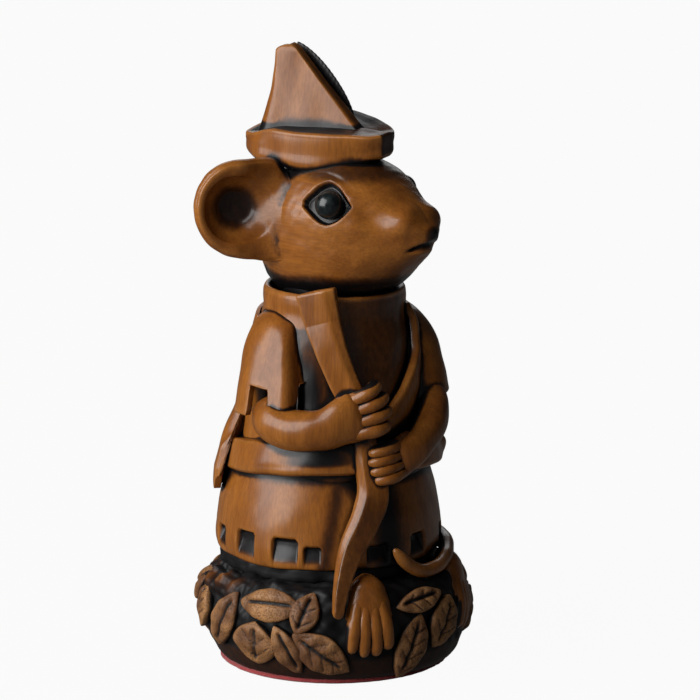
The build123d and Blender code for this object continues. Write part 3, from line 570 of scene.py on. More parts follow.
def sleeve_bell(angles, heights, shares, notches, painted_shade, seed):
    """Bell sleeve hung from the shoulder: ovals along a route, with square notches cut up into the hem."""
    keys = steps(len(angles))
    turn = np.degrees(round_about(300))
    hem = np.ones(len(turn))
    for centre, width, height in notches:
        reach = np.abs(np.radians(apart(turn, centre))) * SLEEVE_HEM_R - width / 2
        hem = np.minimum(hem, 1 - height / SLEEVE_L * smooth(0.2, -0.2, reach))
    hem = hem + 0.012 * np.sin(np.radians(3 * turn + 40 * seed))

    def wall(t, inset):
        """Ovals at shares of the route, smaller by an inset."""
        place = through(keys, np.stack([angles, heights, shares], -1), t)
        angle, z = place[..., 0], place[..., 1]
        centre = polar(angle, place[..., 2] * body_r(z), z)
        size = (through(SLEEVE_KEYS, SLEEVE_SHARES, t) * SLEEVE_R - inset)[..., None]
        a = np.radians(turn)[None, :, None]
        lead, back = level_way(angle), level_way(angle - 90)
        return centre + SLEEVE_FLAT * size * np.cos(a) * lead + size * np.sin(a) * back

    down = steps(110)[:, None] * hem[None]
    lip = steps(6)[1:, None] + 0 * hem[None]
    up = (1 - steps(40)[1:, None] * SLEEVE_HOLLOW) * hem[None]
    outer = wall(down, 0.0)
    edge = wall(np.broadcast_to(hem, lip.shape), SLEEVE_WALL * lip)
    inner = wall(up, SLEEVE_WALL)
    grid = np.concatenate([outer, edge, inner])
    # The sleeve's inside is painted dark as stain and shade, its lip a quarter; the left sleeve gets painted
    # shade all over
    inside = np.concatenate([np.zeros(len(outer)), np.full(len(edge), 0.25), np.ones(len(inner))])
    folds = np.zeros(grid.shape[:2])
    ridge = -0.75 * beside(turn, -54, 15) + 0.5 * beside(turn, -82, 15)
    folds[:len(outer)] = (ridge + 0.16 * np.cos(np.radians(4 * turn + 70)))[None] * smooth(0.12, 0.5, down)
    folds = folds + 0.08 * ripple(grid, 6, seed)
    folds[len(outer) - 2:] = 0
    return skin(on_torso(carve(grid, folds)), np.maximum(inside, painted_shade)[:, None])


# Each arm: angles, heights, stands off the body, then half sizes out from it and along it
RIGHT_FOREARM = (
    (-88, -81, -66, -51, -39, -29), (34.6, 31.0, 29.9, 30.6, 32.4, 34.0), (0.8, 2.3, 3.5, 4.3, 4.9, 4.9),
    (2.8, 3.8, 3.8, 3.3, 2.6, 2.0), (3.3, 3.9, 3.9, 3.9, 4.6, 4.9),
)
LEFT_FOREARM = (
    (42, 33, 20, 6, -5, -13), (35.6, 32.6, 29.6, 27.0, 24.9, 23.8), (0.5, 1.8, 3.1, 3.9, 4.1, 3.9),
    (2.8, 3.4, 3.3, 2.7, 2.1, 1.5), (3.2, 3.5, 3.3, 3.1, 3.4, 3.5),
)
# Fingers: root height, angles of root, knuckle and tip, and their rises from the root height
RIGHT_FINGERS = (
    (35.6, (-46, -30.0, -23.0), (-1.08, 1.8, 3.6)),
    (33.7, (-45, -27.75, -18.5), (-0.96, 1.6, 3.2)),
    (31.7, (-44, -26.75, -16.5), (-0.75, 1.25, 2.5)),
    (29.8, (-43, -27.25, -17.5), (-0.48, 0.8, 1.6)),
)
LEFT_FINGERS = (
    (27.0, (3, -16.5, -27.0), (0.7, -0.4, -1.2)),
    (25.2, (3, -16.75, -27.5), (0.7, -0.4, -1.2)),
    (23.4, (3, -16.25, -26.5), (0.7, -0.4, -1.2)),
    (21.7, (3, -15.25, -24.5), (0.7, -0.4, -1.2)),
)
# Stands of root, knuckle and tip off the body
RIGHT_STANDS = (2.6, 6.1, 4.3)
LEFT_STANDS = (1.4, 4.65, 3.3)


def finger(line, radius, lead, seed, slit_along_lead, slit_from, wiped):
    """Finger or toe: an oval limb bent through three points, a little knuckled, blunt at its tip.

    The slits to its neighbours are painted from a share of its length on, and the rest is wiped.
    """
    start, middle, end = line
    t, size = blunt(44, 0.10, 0.16)
    share = t[:, None]
    bend = middle * 2 - (start + end) * 0.5
    route = start * (1 - share) ** 2 + bend * 2 * share * (1 - share) + end * share ** 2
    half = radius * size * (1 + 0.07 * bump(t, 0.55, 0.12) - 0.10 * smooth(0.6, 1.0, t))
    grid = limb(route, half, 1.08 * half, lead, 40)
    sides = np.cos(round_about(40)) if slit_along_lead else np.sin(round_about(40))
    slit = 0.95 * smooth(0.52, 0.92, np.abs(sides))[None] * smooth(slit_from, slit_from + 0.2, t)[:, None]
    return skin(hand_cut(grid, 0.03, 2.4, seed), slit - wiped * (1 - slit))


def arm(forearm, fingers, stands, radius, painted_shade, palm_wiped, wiped, seed, finger_seed):
    """Forearm laid against the body that flattens to a wiped palm, with four fingers closed over the bow."""
    t, size = blunt(130, 0.10, 0.12)
    angle, z, stand, out, up = through(steps(len(forearm[0])), np.stack(forearm, -1), t).T
    route = polar(angle, body_r(z) + stand, z)
    grid = limb(route, out * size, up * size, level_way(angle), 96, 0.94)
    palm = smooth(0.66, 0.78, steps(130))[:, None]
    # Painted shade over the forearm, wiped off at the palm
    parts = [skin(hand_cut(grid, 0.10, 6, seed), painted_shade - palm_wiped * palm)]
    for i, (root, angles, rises) in enumerate(fingers):
        line = polar(np.array(angles), body_r(root) + np.array(stands), root + np.array(rises))
        parts.append(finger(line, radius, UPRIGHT, finger_seed + i, True, 0.22, wiped))
    whole = together(*parts)
    whole["points"] = on_torso(whole["points"])
    return whole


# Bow

BOW_SHARES = (0.0, 0.11, 0.21, 0.295, 0.37, 0.45, 0.54, 0.64, 0.73, 0.80, 0.89, 1.0)
BOW_ANGLES = (-43, -41, -36.5, -30, -25.5, -26.5, -28.5, -33, -40, -45.5, -52, -58.5)
BOW_STANDS = (5.5, 4.3, 3.4, 3.4, 3.1, 2.8, 2.6, 2.5, 2.4, 2.45, 2.4, 1.9)
BOW_WIDTHS = (1.0, 1.6, 2.3, 2.7, 2.9, 2.5, 2.2, 2.5, 2.8, 2.95, 3.4, 3.9)
BOW_FOOT = 14.1
BOW_RISE = 61.3
# Sections of the stave below and above the hands: share of the half-width, then mm outward
BOW_LOWER = (
    (-0.86, -1.35), (0.94, -1.35), (1.0, -1.2), (1.0, 1.0), (0.93, 1.15), (-0.50, 1.42),
    (-0.62, 1.34), (-0.98, 0.15), (-1.0, 0.0), (-0.98, -1.2), (-0.86, -1.35),
)
BOW_UPPER = (
    (-0.86, -1.35), (0.94, -1.35), (1.0, -1.2), (1.0, 0.7), (0.94, 0.95), (0.52, 1.42),
    (0.38, 1.42), (-0.96, 0.72), (-1.0, 0.5), (-0.98, -1.2), (-0.86, -1.35),
)


def bow_stave():
    """Flat stave stood before the body in a slow S, its near edge bevelled and its top cut square.

    Its face below the hands is darkened with painted shade.
    """
    t = steps(260)
    angle, stand, half = through(BOW_SHARES, np.stack([BOW_ANGLES, BOW_STANDS, BOW_WIDTHS], -1), t).T
    z = BOW_FOOT + BOW_RISE * t
    axis_y = TORSO_BACK - (z - MOUND_TOP) * np.tan(np.radians(BODY_LEAN))
    route = polar(angle, body_r(z - MOUND_TOP) + stand, z) + np.stack([0 * z, axis_y, 0 * z], -1)
    way = unit(np.gradient(route, axis=0))
    out = level_way(angle)
    out = unit(out - way * (out * way).sum(-1, keepdims=True))
    side = np.cross(out, way)
    side = np.where((side * level_way(angle + 90)).sum(-1, keepdims=True) < 0, -side, side)
    ends = np.clip(np.minimum(t / 0.02, (1 - t) / 0.006), 0, 1)
    half = half * np.sqrt(1 - (1 - ends) ** 2 + 0.01)
    lower, upper = (outline(corners, 73)[:-1] for corners in (BOW_LOWER, BOW_UPPER))
    section = lower + smooth(0.42, 0.62, t)[:, None, None] * (upper - lower)
    thin = np.where(ends < 1, 0.5 + 0.5 * ends, 1.0)
    grid = (route[:, None] + (half[:, None] * section[..., 0])[..., None] * side[:, None]
            + (thin[:, None] * section[..., 1])[..., None] * out[:, None])
    # Painted shade on the lower face, turned away from the light
    painted_shade = 0.44 * smooth(0.46, 0.32, t)[:, None] * smooth(0.6, 1.2, section[..., 1])
    return skin(hand_cut(grid, 0.05, 5, 71), painted_shade)


# Feet and tail

TOE_SPREADS = (-1.5, -0.5, 0.5, 1.5)
TOE_SHORTS = (0.9, 0.0, 0.1, 1.3)
TOE_SWINGS = np.array((2.3, 4.4, 5.2))
TOE_RADII = np.array((24.0, 26.0, 25.6))
TOE_HEIGHTS = (18.2, 12.4, 6.2)
TOE_R = 1.40
FOOT_TOP = 21.0
FOOT_DROP = 8.6
FOOT_R = 20.8
FOOT_REACH = 4.6
TAIL_ANGLES = np.array((178, 150, 120, 90, 65, 48, 30, 12, 0, -9, -15))
TAIL_LIFTS = np.array((0.6, 0.9, 1.1, 1.3, 1.4, 1.5, 1.1, 0.7, 0.9, 2.4, 4.2))
TAIL_OUTS = np.array((0.2, 0.5, 0.3, 0.0, -0.2, 0.0, 0.5, 1.0, 1.0, 1.0, 1.0))
TAIL_R = 1.6


def foot(angle, sink, seed):
    """Foot hung over the mound's brow: a domed instep that parts into four long toes."""
    outward = level_way(angle)
    t, size = blunt(60, 0.30, 0.20)
    route = polar(angle + 0 * t, FOOT_R - sink + FOOT_REACH * np.sqrt(t), FOOT_TOP - FOOT_DROP * t)
    dome = limb(route, (3.0 - 1.3 * t) * size, (3.3 + 1.6 * t) * size, outward, 72)
    parts = [skin(hand_cut(dome, 0.06, 4, seed), -0.6)]
    for i, (share, short) in enumerate(zip(TOE_SPREADS, TOE_SHORTS)):
        line = polar(angle + TOE_SWINGS * share, TOE_RADII - sink, TOE_HEIGHTS + np.array((0, 0, short)))
        parts.append(finger(line, TOE_R, outward, seed + i, False, 0.36, 0.5))
    return together(*parts)


def tail_limb():
    """Round tail laid round the hem from the back to a raised tip at the front, thinner to the tip."""
    keys = polar(TAIL_ANGLES, HEM_R + TAIL_R * TAIL_OUTS, MOUND_TOP + TAIL_R * TAIL_LIFTS)
    route = along(keys, 260) + (0, BODY_BACK / 2, 0)
    t, size = blunt(260, 0.01, 0.03)
    size = size * TAIL_R * (1.05 - 0.25 * t + 0.40 * bump(t, 0.56, 0.14))
    return skin(hand_cut(limb(route, size, size, UPRIGHT, 40), 0.05, 5, 81))


# Head, ears and eyes

HEAD_L = 39.5
HEAD_BEHIND = 14.0
HEAD_HALF_W = 13.5
HEAD_RISE = 13.0
HEAD_DROP = 15.0
JAW_FULLNESS = 1.3
HEAD_SHARES = (0.0, 0.035, 0.12, 0.25, 0.40, 0.55, 0.68, 0.81, 0.91, 0.97, 1.0)
HEAD_WIDTHS = (0.05, 0.48, 0.78, 0.95, 1.0, 0.96, 0.80, 0.54, 0.32, 0.17, 0.03)
HEAD_RISES = (0.05, 0.48, 0.78, 0.95, 1.0, 0.97, 0.82, 0.54, 0.27, 0.12, 0.02)
HEAD_DROPS = (0.05, 0.68, 0.99, 1.08, 1.07, 1.0, 0.83, 0.56, 0.34, 0.19, 0.03)
NECK_SIDE = ((0.3, 51.2), (9.9, 51.2), (10.3, 52.0), (10.4, 60.0), (0.3, 62.0))
EYE_OUT = 11.6
EYE_FORWARD = 7.9
EYE_UP = 5.0
EYE_FACING = 62.0
EYE_R = 2.75
EYE_SUNK = 0.7
ALMOND_HALF_L = 4.9
HOLLOW_DEPTH = 1.7
PAD_RISE = 1.45
MOUTH_DEPTH = 1.1


def eye_plane(points, side):
    """Places of points on the plane that faces out of the head at an eye: to the nose, up and outward."""
    outward = level_way(side * EYE_FACING)
    to_nose = level_way(side * (EYE_FACING - 90))
    gap = points - np.array((side * EYE_OUT, -EYE_FORWARD, EYE_UP))
    return gap @ to_nose, gap[..., 2], gap @ outward


def almond(points, side, grow=0.0):
    """One inside the almond round an eye, zero outside, soft at its edge: two arcs that meet in corners."""
    a, b, out = eye_plane(points, side)
    a = a + 0.1
    lid = np.where(b > 0, 4.1, 3.5) * (1 - np.abs(a / ALMOND_HALF_L) ** 1.8)
    lid = np.where(np.abs(a) > ALMOND_HALF_L, -1, lid + 0.5 * bump(a, -ALMOND_HALF_L, 1.2))
    return smooth(0.14, -0.14, np.abs(b) - lid - grow) * (out > -6)


def head_block():
    """Egg-shaped sections from skull to nose, with eye hollows, brow lines, whisker pads and a mouth slit.

    The stain lies in the hollows; painted shade lies under the hat and under the jaw; both are wiped off
    round the ears.
    """
    rows = 230
    u = 0.5 - 0.5 * np.cos(np.pi * steps(rows))
    u = 0.45 * u + 0.55 * steps(rows)
    shape = through(HEAD_SHARES, np.stack([HEAD_WIDTHS, HEAD_RISES, HEAD_DROPS], -1), u)
    t = round_about(380)
    c, s = np.cos(t), np.sin(t)
    x = np.where(s > 0, c, np.sign(c) * np.abs(c) ** (1 / JAW_FULLNESS))
    zs = np.where(s > 0, s, -np.abs(s) ** (1 / JAW_FULLNESS))
    tall = np.where(s[None] > 0, shape[:, 1:2] * HEAD_RISE, shape[:, 2:3] * HEAD_DROP)
    grid = np.stack([
        shape[:, :1] * HEAD_HALF_W * x[None],
        (HEAD_BEHIND - u * HEAD_L + 0.6 * smooth(0.7, 1.0, u))[:, None] + 0 * t[None],
        tall * zs[None],
    ], -1)
    forward = -grid[..., 1]
    z = grid[..., 2]
    depth = 0.07 * ripple(grid, 7, 91) + 0.04 * ripple(grid, 3, 92)
    stain_and_shade = np.zeros_like(z)
    for way in (-1, 1):
        near = grid[..., 0] * way > 0
        a, b, _ = eye_plane(grid, way)
        hollow = almond(grid, way)
        brow = bump(b - 5.3 + 0.06 * (a + 1.5) ** 2, 0, 0.42) * bump(a, -0.5, 3.6)
        tear = bump(b + 0.3 * a - 0.6, 0, 1.7) * bump(a, 8.0, 2.6)
        whisker_pad = bump(a, 14.8, 2.7) * bump(b, -2.9, 2.6)
        depth = depth + near * (HOLLOW_DEPTH * hollow + 0.28 * brow + 0.65 * tear - PAD_RISE * whisker_pad)
        stain_and_shade = deepest(stain_and_shade, near * hollow, 0.28 * near * almond(grid, way, 0.5))
    slit_z = -2.2 - 0.36 * (25.0 - forward)
    slit = bump(z, slit_z, 0.25 + 0.14 * (forward - 20.5))
    slit = slit * smooth(20.8, 22.2, forward) * smooth(25.6, 24.6, forward)
    nose = smooth(23.2, 24.9, forward) * smooth(-3.2, -1.4, z)
    depth = depth + MOUTH_DEPTH * slit - 0.25 * nose
    # Painted shade on the head's top under the hat brim and under the jaw
    shaded = 0.55 * smooth(6.5, 10.5, z) + 0.85 * smooth(-6.5, -11.5, z)
    stain_and_shade = deepest(stain_and_shade, shaded, 0.95 * slit, 0.8 * nose)
    ear_root = bump(forward, -3.0, 4.2) * smooth(7, 10, np.abs(grid[..., 0])) * bump(z, -2.0, 12.0)
    stain_and_shade = stain_and_shade - ear_root * (1 - stain_and_shade)
    # The neck between head and collar is painted black as stain and shade
    neck = lathe(outline(NECK_SIDE, 60), 160)[0]
    return together(skin(on_head(carve(grid, depth)), stain_and_shade), skin(on_torso(neck), 1.0))


EAR_R = 9.7
EAR_OUT = 16.4
EAR_BEHIND = 8.6
EAR_UP = 3.2
EAR_FACING = 42.0
# The ear's section: share of its radius, then mm forward, from the back over the rim into the dish
EAR_PROFILE = (
    (0.03, -4.0), (0.36, -3.85), (0.66, -3.1), (0.88, -1.8), (0.985, -0.2), (1.0, 0.9), (0.965, 1.9),
    (0.87, 2.5), (0.76, 2.3), (0.66, 1.6), (0.53, 0.5), (0.39, -0.6), (0.23, -1.5), (0.03, -1.9),
)
EAR_SOFT = 1.2
DISH_OUT = 1.8
JAW_REACH = 16.0


def cheek_height(a, b):
    """Height of the head's side over the plane of the ear: six steps toward the meeting of the two."""
    lift = EAR_UP + b
    share = np.clip(np.where(lift > 0, lift / HEAD_RISE, (np.abs(lift) / JAW_REACH) ** JAW_FULLNESS), 0, 1)
    cheek = np.sqrt(1 - share ** 2)
    cheek = HEAD_HALF_W * np.where(lift > 0, cheek, cheek ** 0.77)
    face, along_head = np.sin(np.radians(EAR_FACING)), np.cos(np.radians(EAR_FACING))
    grown = 0 * a
    for _ in range(6):
        back = EAR_BEHIND - face * a - along_head * grown
        width = through(HEAD_SHARES, HEAD_WIDTHS, (HEAD_BEHIND - np.minimum(back, 3.0)) / HEAD_L)
        width = width - 0.012 * smooth(3.2, 1.2, back)
        grown = 0.5 * grown + 0.5 * (width * cheek - EAR_OUT + along_head * a) / face
    return grown


def ear(side, seed):
    """Round dish turned about the ear's own axis, with a rolled rim and webs toward the head.

    The dish is set outward. The front face grows from the cheek by a soft maximum of the two heights,
    and the stain is wiped off there.
    """
    rows = 130
    profile = along(EAR_PROFILE, rows)
    share, ahead = profile[:, :1], profile[:, 1:]
    down = steps(rows)[:, None]
    t = round_about(220)
    swing = np.degrees(t)
    web = 0.28 * beside(swing, -52, 26) + 0.15 * beside(swing, 50, 22)
    stretch = 1 + 0.03 * np.cos(2 * t + 0.4) + 0.02 * np.cos(3 * t)
    reach = EAR_R * share * (stretch[None] + web[None] * smooth(0.55, 1.0, share))
    a = reach * np.cos(t)[None] - DISH_OUT * smooth(0.45, 0.55, down) * smooth(0.95, 0.5, share)
    b = reach * np.sin(t)[None]
    toward_head = smooth(-0.2, 0.8, np.cos(t))[None] * share ** 2
    high = ahead - (4.4 - 2.0 * beside(swing, -55, 30))[None] * toward_head
    grown = cheek_height(a, b)
    joined = np.maximum(high, grown) + EAR_SOFT * np.log1p(np.exp(-np.abs(high - grown) / EAR_SOFT))
    high = high + smooth(0.40, 0.52, down) * (joined - high)
    to_head = level_way(side * (EAR_FACING - 90))
    outward = level_way(side * EAR_FACING)
    centre = np.array((side * EAR_OUT, EAR_BEHIND, EAR_UP))
    grid = centre + a[..., None] * to_head + b[..., None] * UPRIGHT + high[..., None] * outward
    over = grown - ahead
    grid = carve(grid, 0.06 * smooth(1.0, -2.0, over) * ripple(grid, 4, seed))
    deep = (down > 0.52) * smooth(0.68, 0.26, share) * smooth(2.6, 0.2, over)
    wiped = smooth(-1.0, 1.2, over) * (1 - deep)
    return skin(on_head(grid), 0.68 * deep - wiped)


def eye_bead(side):
    """Round bead set in the eye hollow."""
    t = np.linspace(0.01, np.pi - 0.01, 48)[:, None]
    p = round_about(64)[None]
    ball = EYE_R * np.stack([np.sin(t) * np.cos(p), np.sin(t) * np.sin(p), np.cos(t) + 0 * p], -1)
    return skin(on_head(ball + (side * (EYE_OUT - EYE_SUNK), -EYE_FORWARD, EYE_UP)))


# Hat

def rounded_plan(corners, radii, count):
    """Closed plan with straight sides and round corners: each corner is an arc that meets its two sides."""
    corners = np.asarray(corners, float)
    line = []
    for i, radius in enumerate(radii):
        here = corners[i]
        back = unit(corners[i - 1] - here)
        ahead = unit(corners[(i + 1) % len(corners)] - here)
        half = 0.5 * np.arccos(np.clip(back @ ahead, -1, 1))
        middle = here + unit(back + ahead) * radius / np.sin(half)
        start = here + back * radius / np.tan(half) - middle
        spoke = here - middle
        turn = np.sign(start[0] * spoke[1] - start[1] * spoke[0]) * (np.pi - 2 * half)
        a = np.linspace(0, turn, 14)[:, None]
        line.append(middle + np.cos(a) * start + np.sin(a) * np.array((-start[1], start[0])))
    line = np.concatenate(line)
    return outline(np.concatenate([line, line[:1]]), count + 1)[:-1]


def plan_normals(plan):
    """Outward normals of a closed plan."""
    way = np.roll(plan, -1, 0) - np.roll(plan, 1, 0)
    normal = unit(np.stack([way[:, 1], -way[:, 0]], -1))
    return normal if (normal * (plan - plan.mean(0))).sum() > 0 else -normal


# Half of the brim's boat-shaped plan, from the prow to the stern
BRIM_PLAN = (
    (0.0, -12.6), (1.9, -12.5), (3.5, -11.3), (5.6, -7.6), (7.9, -1.6), (9.2, 4.0), (9.3, 9.0),
    (8.6, 14.2), (7.3, 16.8), (5.0, 17.4), (0.0, 17.4),
)
# The brim's section: mm out from the plan, then height, from under the brim over the lip to the deck
BRIM_SIDE = (
    (-7.0, 0.3), (-4.5, 0.2), (-1.6, 0.0), (-0.5, 0.15), (-0.05, 0.8), (0.0, 3.0), (0.0, 5.7), (-0.05, 6.15),
    (-0.3, 6.38), (-0.8, 6.4), (-1.4, 6.38), (-1.9, 6.32), (-2.5, 6.26), (-3.2, 6.22), (-7.0, 6.2),
)
BRIM_MIDDLE = np.array((0, 3.0))
BRIM_INSET = 2.9
DECK_RUN = 4.1


def hat_brim():
    """Brim like a boat: a wall round a pointed plan, its foot set out at the sides and drawn in at the prow.

    The deck is stained up to the lip on the far side and the prow, and short of it on the near side; the far
    side, the prow and the underside get painted shade.
    """
    columns = 380
    half = np.array(BRIM_PLAN)
    plan = np.concatenate([half, half[-2:0:-1] * (-1, 1)])
    plan = along(np.concatenate([plan] * 3 + [plan[:1]]), 3 * columns + 1)[columns:2 * columns]
    normal = plan_normals(plan)
    x, run = plan.T
    outset, z = along(BRIM_SIDE, 120).T[..., None]
    inner = np.clip((-outset - BRIM_INSET) / DECK_RUN, 0, 1)
    low = np.clip(1 - z / 6.0, 0, 1)
    lean = 1.5 * smooth(-9, 0, run) * smooth(17, 11, run) - 0.8 * smooth(-5, -12.5, run)
    reach = np.maximum(outset, -BRIM_INSET) + lean * low
    ring = plan[None] + reach[..., None] * normal[None]
    ring = ring + inner[..., None] * 0.96 * (BRIM_MIDDLE - ring)
    drop = 0.7 * bump(run, 0.0, 8.0) - 0.9 * smooth(-7, -12.5, run)
    ends = 2.0 * smooth(8, 16.4, run) + 0.3 * smooth(-6, -12.5, run)
    ends = ends + 0.5 * smooth(0.0, 4.0, x) * smooth(14, 8, run)
    height = z - low * drop * (outset > -4) - ends * smooth(3.0, 5.6, z) * (1 - inner)
    grid = hand_cut(np.concatenate([ring, height[..., None]], -1), 0.06, 7, 111)
    front = smooth(-0.45, -0.75, normal[:, 1]) * smooth(-2.6, -1.5, x)
    dark_lip = np.maximum(front, smooth(0.0, 2.5, x))
    deck = smooth(0.15, -0.15, outset + 1.0 - 0.95 * dark_lip) * (z > 3.5)
    deck = deck * (0.92 - 0.34 * smooth(-3, -8, run))
    # Painted shade on the prow, the far side away from the light and under the brim; the deck holds stain
    # and painted shade
    prow = 0.62 * front * smooth(0.6, 1.6, z)
    far = 0.7 * smooth(1.0, 6.0, x) * (z > 3.0)
    under = 0.9 * smooth(0.9, 0.2, z)
    return skin(on_hat(grid), deepest(deck, prow, far, under))


CROWN_CORNERS = ((-0.9, -7.2), (1.7, -6.6), (6.6, 10.6), (4.0, 14.0), (-3.8, 15.6), (-8.5, 13.2))
CROWN_RADII = (0.5, 0.7, 2.4, 2.4, 3.0, 3.0)
CROWN_FOOT = 4.6
CROWN_RISE = 16.0
CROWN_BACK = 10.3
CROWN_SHRINK = 0.83
CROWN_HOLLOW = 0.05


def hat_crown():
    """Tall wedge: a pointed plan that shrinks to a blunt tip set to the back, its sides a little hollow."""
    x, y = rounded_plan(CROWN_CORNERS, CROWN_RADII, 280).T
    t, size = blunt(150, 0.0, 0.07)
    t, size = t[:, None], size[:, None]
    share = (1 - CROWN_SHRINK * t - CROWN_HOLLOW * np.sin(np.pi * t)) * np.where(t > 0.85, size, 1)
    ridge = 1.5 * smooth(-2, -6, y) * smooth(-0.9, 1.7, x)
    grid = np.stack([
        x * share + (1 - share) * ridge,
        y * share + CROWN_BACK * t,
        CROWN_FOOT + CROWN_RISE * t + 0 * x,
    ], -1)
    # The foot line holds stain and painted shade; the far facet gets painted shade
    foot_line = 0.95 * smooth(0.17, 0.09, t)
    shaded_facet = 0.46 * smooth(-0.6, 0.2, x) * smooth(6.0, 3.0, x)
    return skin(on_hat(hand_cut(grid, 0.07, 6, 121)), np.maximum(foot_line, shaded_facet))


FEATHER_FOOT = np.array((3.5, -1.3, 5.0))
FEATHER_LEAN = unit(np.array((-0.04, 0.62, 0.76)))
FEATHER_FACE = np.array((0.90, 0.20, 0.30))
FEATHER_HALF_L = 9.7
FEATHER_HALF_W = 2.7
FEATHER_HALF_T = 0.7


def hat_feather():
    """Blade shaped like a lens, with fine barbs, leaning back along the crown's left side."""
    face = unit(FEATHER_FACE - FEATHER_LEAN * (FEATHER_FACE @ FEATHER_LEAN))
    s = swept(110)
    route = FEATHER_FOOT + FEATHER_LEAN * (FEATHER_HALF_L * (1 + s))[:, None] + 0.6 * face
    half = np.clip(1 - np.abs(s) ** 2.2, 0.001, 1) ** 0.8
    grid = limb(route, FEATHER_HALF_T * np.sqrt(half), FEATHER_HALF_W * half, face, 48)
    barbs = 0.03 * np.sin(s[:, None] * 60 + 6 * np.abs(np.cos(round_about(48)))[None])
    return skin(on_hat(carve(grid, barbs)), 1.0)


# All carved pieces by node

def carved_pieces():
    """Every carved piece by the name of its node."""
    piece = {
        "felt_pad": felt_disc(),
        "base_mound": mound_block(),
        "leg_block": leg_block(),
        "skirt": skirt_bell(),
        "belt": belt_band(),
        "torso": torso_block(),
        "cape": cape_sheet(),
        "shoulder_strap": strap_band(),
        "right_sleeve": sleeve_bell(*RIGHT_SLEEVE),
        "left_sleeve": sleeve_bell(*LEFT_SLEEVE),
        "right_arm": arm(RIGHT_FOREARM, RIGHT_FINGERS, RIGHT_STANDS, radius=1.42, painted_shade=0.0,
                         palm_wiped=0.6, wiped=0.6, seed=55, finger_seed=60),
        # The left arm is darkened with painted shade on the side away from the light
        "left_arm": arm(LEFT_FOREARM, LEFT_FINGERS, LEFT_STANDS, radius=1.22, painted_shade=0.32,
                        palm_wiped=0.7, wiped=0.5, seed=56, finger_seed=66),
        "bow": bow_stave(),
        "right_foot": foot(-31, 0.0, 75),
        "left_foot": foot(34, 1.4, 85),
        "tail": tail_limb(),
        "head": head_block(),
        "right_ear": ear(-1, 95),
        "left_ear": ear(1, 97),
        "right_eye": eye_bead(-1),
        "left_eye": eye_bead(1),
        "hat_brim": hat_brim(),
        "hat_crown": hat_crown(),
        "hat_feather": hat_feather(),
    }
    for number, shares in enumerate(LEAVES, 1):
        piece[f"leaf_{number:02d}"] = leaf_shape(number, *shares)
    return piece


# Where the stain and the painted shade gather

CELL = 0.5
FIELD_PAD = 10.0
FIELD_BLUR = 0.4
# Reach of each look round a point and how far off the skin it is taken, in mm
CLOSE_REACH, CLOSE_OFF = 0.8, 0.35
BROAD_REACH, BROAD_OFF = 2.2, 1.0
FAR_REACH, FAR_OFF = 4.5, 3.0
# How solid the space off a flat face is at the two wider reaches, and the span up to a deep hollow
BROAD_FLAT, BROAD_SPAN = 0.19, 0.20
FAR_FLAT, FAR_SPAN = 0.21, 0.19


def face_patches(piece):
    """Centres of a skin's faces and their outward area vectors."""
    points = piece["points"]
    a, b, c, d = (points[piece["quads"][:, i]] for i in range(4))
    e, f, g = (points[piece["tris"][:, i]] for i in range(3))
    centres = np.concatenate([(a + b + c + d) / 4, (e + f + g) / 3])
    return centres, np.concatenate([np.cross(c - a, d - b) / 2, np.cross(f - e, g - e) / 2])


def point_normals(piece):
    """Unit normals at a skin's points: the sum of the area vectors of the faces round each."""
    patches = face_patches(piece)[1]
    count = len(piece["points"])
    quads = len(piece["quads"])
    corners = np.concatenate([piece["quads"].ravel(), piece["tris"].ravel()])
    weights = np.concatenate([np.repeat(patches[:quads], 4, 0), np.repeat(patches[quads:], 3, 0)])
    return unit(np.stack([np.bincount(corners, weights[:, i], count) for i in range(3)], -1))


def cells_round(place):
    """The eight cells round each place, one set at a time, with the share that falls to each."""
    corner = np.floor(place).astype(int)
    part = place - corner
    for i in range(8):
        step = np.array((i & 1, i >> 1 & 1, i >> 2 & 1))
        yield tuple((corner + step).T), np.where(step, part, 1 - part).prod(1)


def solid_field(pieces):
    """How solid each cell is, 0 to 1: the field whose slope is the skins' inward area, as a sum of waves."""
    patches = [face_patches(p) for p in pieces.values()]
    centres = np.concatenate([p[0] for p in patches])
    areas = np.concatenate([p[1] for p in patches])
    low = centres.min(0) - FIELD_PAD
    size = np.ceil((centres.max(0) + FIELD_PAD - low) / CELL).astype(int)
    size = size + size % 2
    flow = np.zeros((3, size.prod()))
    for cell, share in cells_round((centres - low) / CELL):
        flat = np.ravel_multi_index(cell, size)
        for j in range(3):
            flow[j] += np.bincount(flat, share * areas[:, j], size.prod())
    waves = [np.fft.fftfreq(n, CELL) * TAU for n in size[:2]] + [np.fft.rfftfreq(size[2], CELL) * TAU]
    ways = np.meshgrid(*waves, indexing="ij", sparse=True)
    square = ways[0] ** 2 + ways[1] ** 2 + ways[2] ** 2
    total = sum(way * np.fft.rfftn(part.reshape(size)) for way, part in zip(ways, flow))
    square[0, 0, 0] = 1
    total = 1j * total / square * np.exp(-square * FIELD_BLUR ** 2 / 2) / CELL ** 3
    solid = np.fft.irfftn(total, s=tuple(size))
    return np.clip(solid - solid[0, 0, 0], 0, 1), square, low


